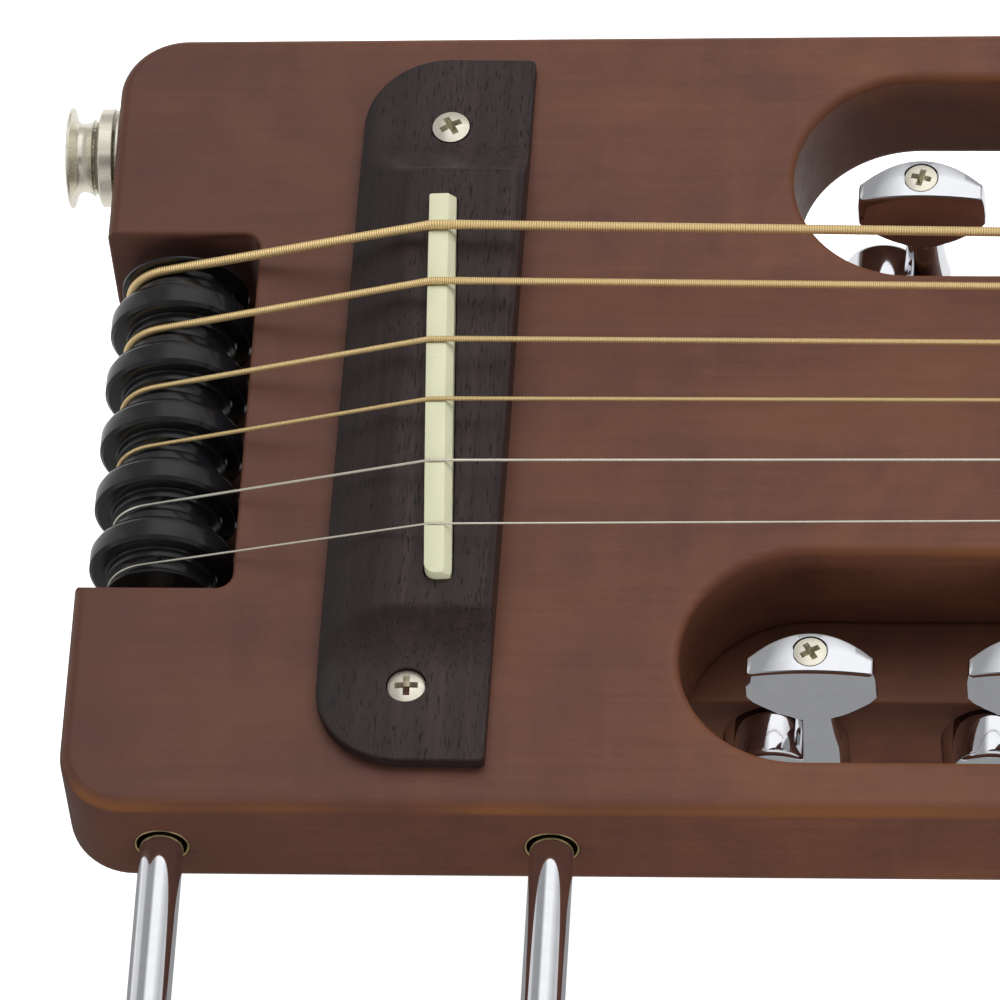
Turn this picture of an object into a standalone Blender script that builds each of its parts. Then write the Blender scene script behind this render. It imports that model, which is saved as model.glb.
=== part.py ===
"""Travel guitar: a headless neck-through six-string with its tuners set in slots of the body.

Metres, +Z out of the front face. Pieces are laid out along X from the tail edge towards the
head, with Y towards the bass side; the whole guitar is then moved so that the origin lies on
the flat back of the keel, which it rests on.
"""
from math import asin, atan, atan2, ceil, cos, hypot, pi, radians, sin, sqrt, tan

import bmesh
import bpy
import numpy as np

# Clearance between pieces that touch or turn on each other
FIT = 0.0003

# Speaking length
SCALE = 0.62865
FRETS = 21
STRINGS = 6

# Body plank
BODY_WIDTH = 0.1334
PLANK = 0.019
BODY_DEPTH = 0.0445
TAIL_RADIUS = 0.0095
TAIL_TAPER = 0.0013
TAPER_LENGTH = 0.130
BASS_SHOULDER = 0.308
TREBLE_SHOULDER = 0.284
SHOULDER_RADIUS = 0.032
SHOULDER_SLOPE = 0.036
TREBLE_FILLET = 0.016
BASS_FILLET = 0.0016
PLANK_END = 0.345
FRONT_ROUND = 0.002
BACK_ROUND = 0.003

# Keel, the thick centre block behind the plank
KEEL_WIDTH = 0.0734
KEEL_TAIL = 0.076
KEEL_NARROWING = 0.268
KEEL_FLAT_END = 0.302
HEEL_LENGTH = 0.052
KEEL_CORNER = 0.004
KEEL_REST = 0.250
LEDGE_RISE = 0.0004

# Tail notch and its string rollers
NOTCH_DEPTH = 0.0221
NOTCH_CORNER = 0.0016
ROLLER_X = 0.0108
ROLLER_DEPTH = 0.0093
ROLLER_PITCH = 0.01005
ROLLER_RADIUS = 0.0102
ROLLER_FLANGE = 0.00405
FLANGE_START = 0.0025
DRUM_RADIUS = 0.0077
LIP_RADIUS = 0.0091
DRUM_END = 0.0019
GROOVE_RADIUS = 0.0068
GROOVE_HALF = 0.0015
AXLE_RADIUS = 0.002
AXLE_SEAT = 0.008

# Bridge and saddle
BRIDGE_TAIL_EDGE = 0.0356
BRIDGE_LENGTH = 0.0240
BRIDGE_WIDTH = 0.1200
BRIDGE_TURN = 0.009
BRIDGE_HEIGHT = 0.0065
BRIDGE_WING = 0.002
BRIDGE_WING_START = 0.0375
BRIDGE_SCOOP = 0.005
BRIDGE_SLOPE = 0.0089
BRIDGE_EDGE = 0.0010
BRIDGE_TAIL_CORNER = 0.012
BRIDGE_NECK_CORNER = 0.0015
BRIDGE_SCREW_X = 0.0481
BRIDGE_SCREW_Y = 0.0477
SADDLE_X = 0.0501
SADDLE_THICK = 0.0038
SADDLE_LENGTH = 0.065
SADDLE_SLANT = 0.0452
SADDLE_SHIFT = -0.0006
SADDLE_TOP = 0.0093
SADDLE_SEAT = 0.0035
STRING_SPREAD = 0.0508
CROWN_RADIUS = 0.305
PIEZO_WIDTH = 0.003
PIEZO_THICK = 0.001
SCREW_HEAD_RADIUS = 0.00265
SCREW_HEAD_HEIGHT = 0.0014
BASS_SCREW_SINK = 0.0002
TREBLE_SCREW_SINK = 0.0008
SCREW_SHANK_RADIUS = 0.0014
SCREW_LENGTH = 0.014

# Tuner slots
SLOT_INNER = 0.0239
SLOT_WIDTH = 0.0343
TUNER_PITCH = 0.0306
BASS_TUNER_X = 0.1159
TREBLE_TUNER_X = 0.1030
SLOT_END_LEAD = 0.0181

# Tuners: a worm on the button's shaft turns a gear on the string post
TUNER_Y = 0.0405
TUNER_CENTRES = 0.0062
GEAR_DEPTH = 0.0262
GEAR_TEETH = 18
GEAR_RADIUS = 0.0042
GEAR_FACE = 0.0035
ADDENDUM = 0.0004
DEDENDUM = 0.0006
FLANK = radians(20)
TOOTH_SHARE = 0.40
WORM_TURNS = 3
WORM_COLUMNS = 10
WORM_COLLAR = 0.0006
SHAFT_RADIUS = 0.0015
HOUSING_WALL = 0.0008
HOUSING_BACK = 0.0442
POCKET_DEPTH = 0.0032
POCKET_RADIUS = 0.0089
POCKET_TOP = 0.0195
NECK_TOP = 0.012
NECK_RADIUS = 0.00245
BUTTON_TOP = 0.0006
BUTTON_WIDTH = 0.0183
BUTTON_THICK = 0.0064
BUTTON_EDGE = 0.0029
BUTTON_FACE = 0.0033
BUTTON_SCREW_RADIUS = 0.00245
BUTTON_SCREW_HEIGHT = 0.0012
POST_RADIUS = 0.003
POST_TIP = 0.0038
POST_HOLE_RADIUS = 0.0009

# String pocket in the back of plank and keel
POCKET_CEILING = 0.0135
STRING_POCKET_TAIL = 0.0285
STRING_POCKET_HALF = 0.021
STRING_POCKET_TAPER_END = 0.104
POST_ROOM = 0.0041

# Strings, treble first
STRING_GAUGES = (0.000305, 0.000406, 0.00061, 0.000813, 0.00107, 0.00135)
WINDINGS = 2.25
WINDING_GAP = 0.00045
WINDING_POINTS = 10
OUTER_LANE = 0.018
LANE_PITCH = 0.0057
BALL_RADIUS = 0.0019
BALL_LENGTH = 0.004

# Neck, fretboard, nut and head
NECK_DEPTH_NUT = 0.0145
NECK_DEPTH_HEEL = 0.0175
NECK_EDGE = 0.003
NUT_WIDTH = 0.0429
NUT_LENGTH = 0.005
NUT_SPREAD = 0.035
BOARD_WIDTH_END = 0.0555
BOARD_THICK = 0.006
BOARD_OVERHANG = 0.007
FRET_WIDTH = 0.0024
FRET_HEIGHT = 0.001
NUT_ACTION = 0.0003
HEAD_LENGTH = 0.0315
HEAD_FLARE = 0.0025
TRUSS_RADIUS = 0.0028
TRUSS_CHANNEL_DEPTH = 0.0085
TRUSS_START = 0.238
ANCHOR_SETBACK = 0.0065
ANCHOR_WALL = 0.003
ANCHOR_HEIGHT = 0.0075
ANCHOR_BASE = 0.0022
ANCHOR_FOOT = 0.0085
ANCHOR_BALL_HEIGHT = 0.0048
ANCHOR_SCREW_Y = 0.0155

# Lap rest: a bent rod in two sockets of the treble side
REST_ROD_RADIUS = 0.00305
REST_TAIL_X = 0.01405
REST_SPACING = 0.05395
REST_DEPTH = 0.010
REST_REACH = 0.112
REST_BEND = 0.016
REST_INSERT = 0.020
SOCKET_WALL = 0.0005
SOCKET_LENGTH = 0.022

# Strap jack in the tail
JACK_Y = 0.0507
JACK_DEPTH = 0.0095
PLUG_BORE_RADIUS = 0.0033
JACK_SLEEVE_RADIUS = 0.0042
JACK_BARREL_RADIUS = 0.0056
JACK_BARREL_START = 0.0015
JACK_BARREL_END = 0.034
JACK_NUT_RADIUS = 0.0071
JACK_NUT_FACE = 0.0048
JACK_NUT_BEVEL = 0.0009
JACK_NUT_LENGTH = 0.0028
WASHER_THICK = 0.0004
COLLAR_NECK_RADIUS = 0.0052
COLLAR_FLANGE_RADIUS = 0.0073
COLLAR_LENGTH = 0.0036
COLLAR_FLANGE = 0.0009
LEAD_RADIUS = 0.0011
LEAD_BORE = 0.002
LEAD_INSET = 0.003

# Strap button on the bass shoulder
STRAP_X = 0.268
STRAP_RADIUS = 0.0065
STRAP_NECK = 0.0040
STRAP_LENGTH = 0.010
STRAP_SCREW_LENGTH = 0.026

# Levels and places worked out from the sizes above
FACE = BODY_DEPTH
PLANK_BACK = FACE - PLANK
LEDGE = PLANK_BACK + LEDGE_RISE
HALF = BODY_WIDTH / 2
KEEL_HALF = KEEL_WIDTH / 2
NUT_X = SADDLE_X + SCALE
HEAD_END = NUT_X + HEAD_LENGTH
ROLLER_Z = FACE - ROLLER_DEPTH
NOTCH_HALF = STRINGS * ROLLER_PITCH / 2 + FIT / 2
GEAR_Z = FACE - GEAR_DEPTH
WORM_RADIUS = TUNER_CENTRES - GEAR_RADIUS
WORM_PITCH = 2 * pi * GEAR_RADIUS / GEAR_TEETH
WORM_CORE = WORM_RADIUS - DEDENDUM
WORM_TIP = WORM_RADIUS + ADDENDUM
WORM_HALF = WORM_PITCH * WORM_TURNS / 2 + WORM_COLLAR
HOUSING_RADIUS = GEAR_RADIUS + ADDENDUM + FIT + HOUSING_WALL
BARREL_RADIUS = WORM_TIP + FIT + HOUSING_WALL
POCKET_FLOOR = KEEL_HALF - POCKET_DEPTH
POCKET_OFFSET = (BARREL_RADIUS + TUNER_CENTRES - HOUSING_RADIUS) / 2 - 0.0004
SLOT_RADIUS = SLOT_WIDTH / 2
SLOT_MID = SLOT_INNER + SLOT_RADIUS
TUNERS_A_SIDE = STRINGS // 2
LAST_POST_X = BASS_TUNER_X + (TUNERS_A_SIDE - 1) * TUNER_PITCH - TUNER_CENTRES
STRING_POCKET_END = LAST_POST_X + POST_RADIUS + POST_ROOM
JACK_Z = FACE - JACK_DEPTH
REST_Z = FACE - REST_DEPTH
BRIDGE_BASE = FACE + FIT
SLOT_FLOOR = FACE + BRIDGE_HEIGHT - SADDLE_SEAT


def material(name, colour, roughness, metallic=0.0):
    made = bpy.data.materials.new(name)
    made.use_nodes = True
    shader = made.node_tree.nodes["Principled BSDF"]
    shader.inputs["Base Color"].default_value = (*colour, 1.0)
    shader.inputs["Roughness"].default_value = roughness
    shader.inputs["Metallic"].default_value = metallic
    made.diffuse_color = (*colour, 1.0)
    return made


# Building blocks

def add_object(name, data, finish, location=(0, 0, 0)):
    made = bpy.data.objects.new(name, data)
    bpy.context.collection.objects.link(made)
    made.location = location
    made.parent = ROOT
    data.materials.append(MATERIALS[finish])
    return made


def solid(name, verts, faces, finish, location=(0, 0, 0), smooth=True):
    """An object of one closed mesh; its faces are turned outwards."""
    mesh = bpy.data.meshes.new(name)
    mesh.from_pydata([tuple(v) for v in verts], [], faces)
    shell = bmesh.new()
    shell.from_mesh(mesh)
    bmesh.ops.recalc_face_normals(shell, faces=shell.faces)
    shell.to_mesh(mesh)
    shell.free()
    if smooth:
        mesh.shade_smooth()
        mesh.set_sharp_from_angle(angle=radians(35))
    return add_object(name, mesh, finish, location)


def loft(rings):
    """Vertices and faces through rings of equal count, closed by a face at each end."""
    count = len(rings[0])
    verts = [point for ring in rings for point in ring]
    faces = []
    for level in range(len(rings) - 1):
        low = level * count
        for k in range(count):
            after = (k + 1) % count
            faces.append((low + k, low + after, low + count + after, low + count + k))
    faces.append(tuple(range(count))[::-1])
    faces.append(tuple(range(len(verts) - count, len(verts))))
    return verts, faces


def place(axis, u, v, w):
    """A point with w along the axis and u, v across it."""
    return {"X": (w, u, v), "Y": (v, w, u), "Z": (u, v, w)}[axis]


def turned(profile, axis, segments, turn=0.0):
    """A body of revolution from (radius, height) points, closed flat at both ends."""
    rings = []
    for radius, height in profile:
        ring = []
        for k in range(segments):
            angle = 2 * pi * k / segments + turn
            ring.append(place(axis, radius * cos(angle), radius * sin(angle), height))
        rings.append(ring)
    return loft(rings)


def turned_ring(profile, axis, segments):
    """A hollow body of revolution from a closed loop of (radius, height) points."""
    verts = []
    faces = []
    count = len(profile)
    for k in range(segments):
        angle = 2 * pi * k / segments
        for radius, height in profile:
            verts.append(place(axis, radius * cos(angle), radius * sin(angle), height))
    for k in range(segments):
        here = k * count
        there = ((k + 1) % segments) * count
        for j in range(count):
            after = (j + 1) % count
            faces.append((here + j, here + after, there + after, there + j))
    return verts, faces


def prism(outline, axis, low, high):
    """An outline of (u, v) points extruded along an axis."""
    return loft([[place(axis, u, v, low) for u, v in outline], [place(axis, u, v, high) for u, v in outline]])


def box(x, y, z):
    outline = [(x[0], y[0]), (x[1], y[0]), (x[1], y[1]), (x[0], y[1])]
    return prism(outline, "Z", z[0], z[1])


def rod(axis, radius, low, high, segments, across=(0, 0)):
    """A plain cylinder whose axis crosses the plane at the two given coordinates, in x, y, z order."""
    verts, faces = turned([(radius, low), (radius, high)], axis, segments)
    shift = {"X": (0, *across), "Y": (across[0], 0, across[1]), "Z": (*across, 0)}[axis]
    return [tuple(np.add(v, shift)) for v in verts], faces


def moved(shape, shift):
    verts, faces = shape
    return [tuple(np.add(v, shift)) for v in verts], faces


def rounded_outline(corners, steps, inset=0.0):
    """Corner points (x, y, radius), anticlockwise, as an outline with arcs, drawn in by the inset."""
    count = len(corners)
    edges = []
    for k in range(count):
        start = np.array(corners[k][:2])
        run = np.array(corners[(k + 1) % count][:2]) - start
        run /= np.linalg.norm(run)
        edges.append((start + inset * np.array((-run[1], run[0])), run))
    points = []
    for k in range(count):
        (before, run_in), (here, run_out) = edges[k - 1], edges[k]
        cross = run_in[0] * run_out[1] - run_in[1] * run_out[0]
        gap = here - before
        corner = before + run_in * (gap[0] * run_out[1] - gap[1] * run_out[0]) / cross
        bend = atan2(cross, float(np.dot(run_in, run_out)))
        radius = max(corners[k][2] - inset * np.sign(bend), 0.0001)
        reach = radius * tan(abs(bend) / 2)
        side = np.array((-run_in[1], run_in[0])) * np.sign(bend)
        centre = corner - run_in * reach + side * radius
        first = atan2(-side[1], -side[0])
        for step in range(steps + 1):
            angle = first + bend * step / steps
            points.append((centre[0] + radius * cos(angle), centre[1] + radius * sin(angle)))
    return points


def fused(name, shapes, finish, operation="UNION", location=(0, 0, 0), smooth=True):
    """The first shape joined with, or cut by, the others."""
    made = solid(name, *shapes[0], finish, location, smooth=False)
    for shape in shapes[1:]:
        carve(made, shape, operation)
    if smooth:
        made.data.shade_smooth()
        made.data.set_sharp_from_angle(angle=radians(35))
    return made


def carve(target, shape, operation="DIFFERENCE"):
    """Applies one Boolean to an object's mesh."""
    tool = solid("tool", *shape, "steel", smooth=False)
    tool.matrix_world = target.matrix_world.copy()
    tool.parent = target.parent
    tool.location = target.location
    step = target.modifiers.new("step", "BOOLEAN")
    step.operation = operation
    step.object = tool
    graph = bpy.context.evaluated_depsgraph_get()
    result = bpy.data.meshes.new_from_object(target.evaluated_get(graph))
    target.modifiers.clear()
    old = target.data
    name = old.name
    target.data = result
    bpy.data.meshes.remove(old)
    result.name = name
    bpy.data.objects.remove(tool)


def tube(name, points, radii, finish, resolution=1):
    """A round tube along a list of points, with a radius at each of them."""
    curve = bpy.data.curves.new(name, "CURVE")
    curve.dimensions = "3D"
    curve.bevel_depth = 1.0
    curve.bevel_resolution = resolution
    curve.use_fill_caps = True
    line = curve.splines.new("POLY")
    line.points.add(len(points) - 1)
    for point, place_now, radius in zip(line.points, points, radii):
        point.co = (*place_now, 1.0)
        point.radius = radius
    return add_object(name, curve, finish)


# Body

def board_half(x):
    """Half the width of fretboard and neck at a place along the guitar."""
    share = (x - BOARD_START) / (NUT_X - BOARD_START)
    return (BOARD_WIDTH_END + (NUT_WIDTH - BOARD_WIDTH_END) * share) / 2


def crown(y):
    """How far the crowned board, frets, nut and saddle fall away beside the centre line."""
    return CROWN_RADIUS - sqrt(CROWN_RADIUS ** 2 - y ** 2)


def fret_x(number):
    return NUT_X - SCALE * (1 - 2 ** (-number / 12))


BOARD_START = fret_x(FRETS) - BOARD_OVERHANG


def plank_shape():
    neck = board_half(PLANK_END) - NECK_EDGE
    corners = [
        (0, -HALF, TAIL_RADIUS),
        (TREBLE_SHOULDER, -HALF, SHOULDER_RADIUS),
        (TREBLE_SHOULDER + SHOULDER_SLOPE, -neck, TREBLE_FILLET),
        (PLANK_END, -neck, FRONT_ROUND * 2),
        (PLANK_END, neck, FRONT_ROUND * 2),
        (BASS_SHOULDER + SHOULDER_SLOPE, neck, BASS_FILLET),
        (BASS_SHOULDER, HALF, SHOULDER_RADIUS),
        (TAPER_LENGTH, HALF, TAPER_LENGTH),
        (0, HALF - TAIL_TAPER, TAIL_RADIUS),
    ]
    levels = [
        (PLANK_BACK, BACK_ROUND),
        (PLANK_BACK + BACK_ROUND, 0),
        (FACE - FRONT_ROUND, 0),
        (FACE - FRONT_ROUND * 0.3, FRONT_ROUND * 0.3),
        (FACE, FRONT_ROUND),
    ]
    return loft([[(x, y, z) for x, y in rounded_outline(corners, 4, inset)] for z, inset in levels])


def keel_section(x, half, top, bottom):
    corner = min(KEEL_CORNER, (top - bottom) / 3)
    side = [
        (half, top),
        (half, bottom + corner),
        (half - 0.3 * corner, bottom + 0.3 * corner),
        (half - corner, bottom),
    ]
    return [(x, -y, z) for y, z in side] + [(x, y, z) for y, z in reversed(side)]


def keel_shape():
    """A lofted block with a rounded tail end, rising through the heel into the neck."""
    slots_end = BASS_TUNER_X + (TUNERS_A_SIDE - 1) * TUNER_PITCH + SLOT_END_LEAD
    inside = FACE - PLANK * 0.6
    sections = [
        (KEEL_TAIL, KEEL_HALF - KEEL_CORNER, LEDGE, KEEL_CORNER),
        (KEEL_TAIL + KEEL_CORNER * 0.3, KEEL_HALF - KEEL_CORNER * 0.3, LEDGE, KEEL_CORNER * 0.3),
        (KEEL_TAIL + KEEL_CORNER, KEEL_HALF, LEDGE, 0),
        (slots_end + KEEL_CORNER, KEEL_HALF, LEDGE, 0),
        (slots_end + 2 * KEEL_CORNER, KEEL_HALF, inside, 0),
        (KEEL_NARROWING, KEEL_HALF, inside, 0),
    ]
    end = KEEL_FLAT_END + HEEL_LENGTH
    neck_half = board_half(end) - NECK_EDGE * 2
    neck_back = FACE - NECK_DEPTH_HEEL + NECK_EDGE
    steps = 9
    for step in range(1, steps + 1):
        x = KEEL_NARROWING + (end - KEEL_NARROWING) * step / steps
        narrow = (1 - cos(pi * step / steps)) / 2
        climb = max(0.0, (x - KEEL_FLAT_END) / HEEL_LENGTH)
        half = KEEL_HALF + (neck_half - KEEL_HALF) * narrow
        sections.append((x, half, inside, neck_back * (1 - cos(climb * pi / 2))))
    return loft([keel_section(*section) for section in sections])


def neck_section(x, half, depth):
    points = [(x, -half, FACE), (x, half, FACE)]
    steps = 10
    for step in range(steps + 1):
        angle = pi * step / steps
        points.append((x, half * cos(angle), FACE - NECK_EDGE - (depth - NECK_EDGE) * sin(angle)))
    return points


def neck_shape():
    start = TREBLE_SHOULDER
    sections = []
    for share in (0, 0.25, 0.5, 0.75, 1):
        x = start + (NUT_X - start) * share
        depth = NECK_DEPTH_HEEL + (NECK_DEPTH_NUT - NECK_DEPTH_HEEL) * share
        sections.append(neck_section(x, board_half(x), depth))
    head = NUT_WIDTH / 2 + HEAD_FLARE
    sections.append(neck_section(NUT_X + NUT_LENGTH, NUT_WIDTH / 2, NECK_DEPTH_NUT))
    sections.append(neck_section(NUT_X + NUT_LENGTH + HEAD_FLARE * 2, head, NECK_DEPTH_NUT))
    sections.append(neck_section(HEAD_END - HEAD_FLARE, head, NECK_DEPTH_NUT))
    sections.append(neck_section(HEAD_END, head - HEAD_FLARE, NECK_DEPTH_NUT - HEAD_FLARE))
    return loft(sections)


def slot_outline(side, start, end):
    """A slot with full-round ends, on one side of the centre line."""
    low = side * SLOT_MID - SLOT_RADIUS
    high = side * SLOT_MID + SLOT_RADIUS
    corners = [(start, low), (end, low), (end, high), (start, high)]
    return rounded_outline([(x, y, SLOT_RADIUS * 0.999) for x, y in corners], 8)


def tuner_places():
    """String number, side (+1 bass, -1 treble) and shaft X of each tuner."""
    places = []
    for k in range(TUNERS_A_SIDE):
        places.append((k + 1, -1, TREBLE_TUNER_X + k * TUNER_PITCH))
        places.append((STRINGS - k, 1, BASS_TUNER_X + k * TUNER_PITCH))
    return places


def tuner_pocket(side, shaft_x):
    """A round-topped recess in the keel's side wall, open at the back."""
    middle = shaft_x - TUNER_CENTRES + POCKET_OFFSET
    top = FACE - POCKET_TOP - POCKET_RADIUS
    outline = [(middle - POCKET_RADIUS, -KEEL_CORNER)]
    steps = 10
    for step in range(steps + 1):
        angle = pi - pi * step / steps
        outline.append((middle + POCKET_RADIUS * cos(angle), top + POCKET_RADIUS * sin(angle)))
    outline.append((middle + POCKET_RADIUS, -KEEL_CORNER))
    span = sorted((side * POCKET_FLOOR, side * (KEEL_HALF + KEEL_CORNER)))
    return prism([(z, x) for x, z in outline], "Y", *span)


def string_pocket():
    over = PLANK
    half = STRING_POCKET_TAIL
    outline = [
        (NOTCH_DEPTH - NOTCH_CORNER * 2, -half, 0.001),
        (STRING_POCKET_TAPER_END, -STRING_POCKET_HALF, 0.001),
        (STRING_POCKET_END, -STRING_POCKET_HALF, 0.004),
        (STRING_POCKET_END, STRING_POCKET_HALF, 0.004),
        (STRING_POCKET_TAPER_END, STRING_POCKET_HALF, 0.001),
        (NOTCH_DEPTH - NOTCH_CORNER * 2, half, 0.001),
    ]
    return prism(rounded_outline(outline, 2), "Z", -over, FACE - POCKET_CEILING)


def make_body():
    body = solid("neck_through_body", *plank_shape(), "maple", smooth=False)
    for side, first in ((1, BASS_TUNER_X), (-1, TREBLE_TUNER_X)):
        end = first + (TUNERS_A_SIDE - 1) * TUNER_PITCH + SLOT_END_LEAD
        outline = slot_outline(side, first - SLOT_END_LEAD, end)
        carve(body, prism(outline, "Z", PLANK_BACK - PLANK, FACE + PLANK))
    carve(body, keel_shape(), "UNION")
    carve(body, neck_shape(), "UNION")
    notch = [
        (-TAIL_RADIUS, -NOTCH_HALF, 0.0001),
        (NOTCH_DEPTH, -NOTCH_HALF, NOTCH_CORNER),
        (NOTCH_DEPTH, NOTCH_HALF, NOTCH_CORNER),
        (-TAIL_RADIUS, NOTCH_HALF, 0.0001),
    ]
    carve(body, prism(rounded_outline(notch, 3), "Z", PLANK_BACK - PLANK, FACE + PLANK))
    carve(body, string_pocket())
    axle_end = NOTCH_HALF + AXLE_SEAT + FIT
    carve(body, rod("Y", AXLE_RADIUS + FIT, -axle_end, axle_end, 12, (ROLLER_X, ROLLER_Z)))
    for _, side, shaft_x in tuner_places():
        carve(body, tuner_pocket(side, shaft_x))
        span = sorted((side * (STRING_POCKET_HALF - FIT * 5), side * (POCKET_FLOOR + FIT * 5)))
        carve(body, rod("Y", POST_RADIUS + FIT, *span, 12, (shaft_x - TUNER_CENTRES, GEAR_Z)))
    channel = TRUSS_RADIUS + FIT
    reach = (TRUSS_START - FIT, NUT_X + NUT_LENGTH + TRUSS_CHANNEL_DEPTH)
    carve(body, box(reach, (-channel, channel), (FACE - TRUSS_CHANNEL_DEPTH, FACE + PLANK)))
    for x in (REST_TAIL_X, REST_TAIL_X + REST_SPACING):
        radius = REST_ROD_RADIUS + FIT + SOCKET_WALL + FIT
        carve(body, rod("Y", radius, -HALF - PLANK, -HALF + SOCKET_LENGTH + FIT * 2, 16, (x, REST_Z)))
    jack_end = JACK_BARREL_END + LEAD_BORE * 3
    carve(body, rod("X", JACK_BARREL_RADIUS + FIT, -PLANK, jack_end, 16, (JACK_Y, JACK_Z)))
    carve(body, lead_bore())
    carve(body, rod("Z", LEAD_BORE, JACK_Z - LEAD_BORE, FACE + PLANK, 10, lead_place()))
    for _, x, y, sink in bridge_screws():
        hole = screw_hole(SCREW_LENGTH)
        carve(body, moved(hole, (x, y, BRIDGE_BASE + BRIDGE_WING - sink)))
    for y in (-ANCHOR_SCREW_Y, ANCHOR_SCREW_Y):
        carve(body, moved(screw_hole(SCREW_LENGTH), (anchor_screw_x(), y, FACE + FIT + ANCHOR_BASE)))
    strap_span = (HALF - STRAP_SCREW_LENGTH, HALF + PLANK)
    carve(body, rod("Y", SCREW_SHANK_RADIUS + FIT, *strap_span, 12, strap_axis()))
    return body


def strap_axis():
    return STRAP_X, FACE - PLANK / 2


def saddle_x(y):
    return SADDLE_X - SADDLE_SLANT * y


def lead_place():
    """Where the lead drops from the bass end of the pickup strip."""
    y = SADDLE_LENGTH / 2 + SADDLE_SHIFT - LEAD_INSET
    return saddle_x(y), y


def lead_bore():
    """The level bore from under the saddle to the inner end of the jack bore."""
    start = np.array(lead_place())
    end = np.array((JACK_BARREL_END + LEAD_BORE * 1.5, JACK_Y - LEAD_BORE * 0.5))
    run = end - start
    turn = atan2(run[1], run[0])
    bore = turned([(LEAD_BORE, 0), (LEAD_BORE, float(np.linalg.norm(run)))], "X", 10)
    verts = [(x * cos(turn) - y * sin(turn), x * sin(turn) + y * cos(turn), z) for x, y, z in bore[0]]
    return moved((verts, bore[1]), (*start, JACK_Z))


def anchor_wall_x():
    return HEAD_END - ANCHOR_SETBACK - ANCHOR_WALL


def anchor_screw_x():
    return anchor_wall_x() - ANCHOR_FOOT / 2


# Fasteners, drawn with the top of the head at height zero

def screw_shape(length):
    low = -SCREW_HEAD_HEIGHT
    profile = [
        (SCREW_SHANK_RADIUS * 0.2, -length),
        (SCREW_SHANK_RADIUS, -length + 3 * SCREW_SHANK_RADIUS),
        (SCREW_SHANK_RADIUS, low),
        (SCREW_HEAD_RADIUS, low * 0.2),
        (SCREW_HEAD_RADIUS, 0),
    ]
    return turned(profile, "Z", 10)


def screw_hole(length):
    low = -SCREW_HEAD_HEIGHT
    profile = [
        (SCREW_SHANK_RADIUS + FIT, -length - 2 * FIT),
        (SCREW_SHANK_RADIUS + FIT, low - FIT),
        (SCREW_HEAD_RADIUS + FIT, low * 0.2 - FIT),
        (SCREW_HEAD_RADIUS + FIT, SCREW_LENGTH),
    ]
    return turned(profile, "Z", 10)


# Rollers

def make_rollers():
    end = NOTCH_HALF + AXLE_SEAT
    solid("roller_axle", *rod("Y", AXLE_RADIUS, -end, end, 12), "steel", (ROLLER_X, 0, ROLLER_Z))
    for number in range(1, STRINGS + 1):
        shape = turned_ring(roller_profile(number), "Y", 14)
        solid(f"roller_{number}", *shape, "roller", (ROLLER_X, roller_y(number), ROLLER_Z))


def roller_profile(number):
    """A grooved drum, with a flange on its bass side that parts it from the next string's; the last has a lip."""
    bore = AXLE_RADIUS + FIT
    flange_end = FLANGE_START + ROLLER_FLANGE
    low = -DRUM_END if number == 1 else flange_end - ROLLER_PITCH + FIT
    high = flange_end if number < STRINGS else DRUM_END
    wall = DRUM_RADIUS if number < STRINGS else LIP_RADIUS
    profile = [
        (wall, GROOVE_HALF), (GROOVE_RADIUS, GROOVE_HALF), (GROOVE_RADIUS, -GROOVE_HALF),
        (DRUM_RADIUS, -GROOVE_HALF), (DRUM_RADIUS, low), (bore, low), (bore, high),
    ]
    if number == STRINGS:
        return profile + [(wall, high)]
    return profile + [(ROLLER_RADIUS, high), (ROLLER_RADIUS, FLANGE_START), (DRUM_RADIUS, FLANGE_START)]


def roller_y(number):
    return (number - (STRINGS + 1) / 2) * ROLLER_PITCH


# Bridge, saddle and pickup

def arc_top(half, height, steps):
    """A crowned top line, from one side to the other, whose middle has the given height."""
    line = []
    for step in range(steps + 1):
        y = half - 2 * half * step / steps
        line.append((y, height - crown(y)))
    return line


def saddle_outline(grow):
    half = SADDLE_LENGTH / 2 + grow
    thick = SADDLE_THICK / 2 + grow
    corners = [(thick, SADDLE_SHIFT + half), (-thick, SADDLE_SHIFT + half)]
    corners += [(-thick, SADDLE_SHIFT - half), (thick, SADDLE_SHIFT - half)]
    return rounded_outline([(x, y, thick * 0.999) for x, y in corners], 3)


def slanted(shape):
    """Turns a shape from the Y direction into the saddle's slant."""
    turn = atan(SADDLE_SLANT)
    verts = [(x * cos(turn) - y * sin(turn), x * sin(turn) + y * cos(turn), z) for x, y, z in shape[0]]
    return moved((verts, shape[1]), (SADDLE_X, 0, 0))


def on_bridge(shape):
    """Turns a shape about the bridge's middle by the little that the bridge is turned."""
    middle = BRIDGE_TAIL_EDGE + BRIDGE_LENGTH / 2
    turned_points = []
    for x, y, z in shape[0]:
        away = x - middle
        across = away * cos(BRIDGE_TURN) + y * sin(BRIDGE_TURN)
        turned_points.append((middle + across, y * cos(BRIDGE_TURN) - away * sin(BRIDGE_TURN), z))
    return turned_points, shape[1]


def bridge_screws():
    """Name, X, Y and depth below the wing of the bridge's two screws."""
    places = []
    for name, side, sink in (("treble", -1, TREBLE_SCREW_SINK), ("bass", 1, BASS_SCREW_SINK)):
        (x, y, _), = on_bridge(([(BRIDGE_SCREW_X, side * BRIDGE_SCREW_Y, 0)], []))[0]
        places.append((name, x, y, sink))
    return places


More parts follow.
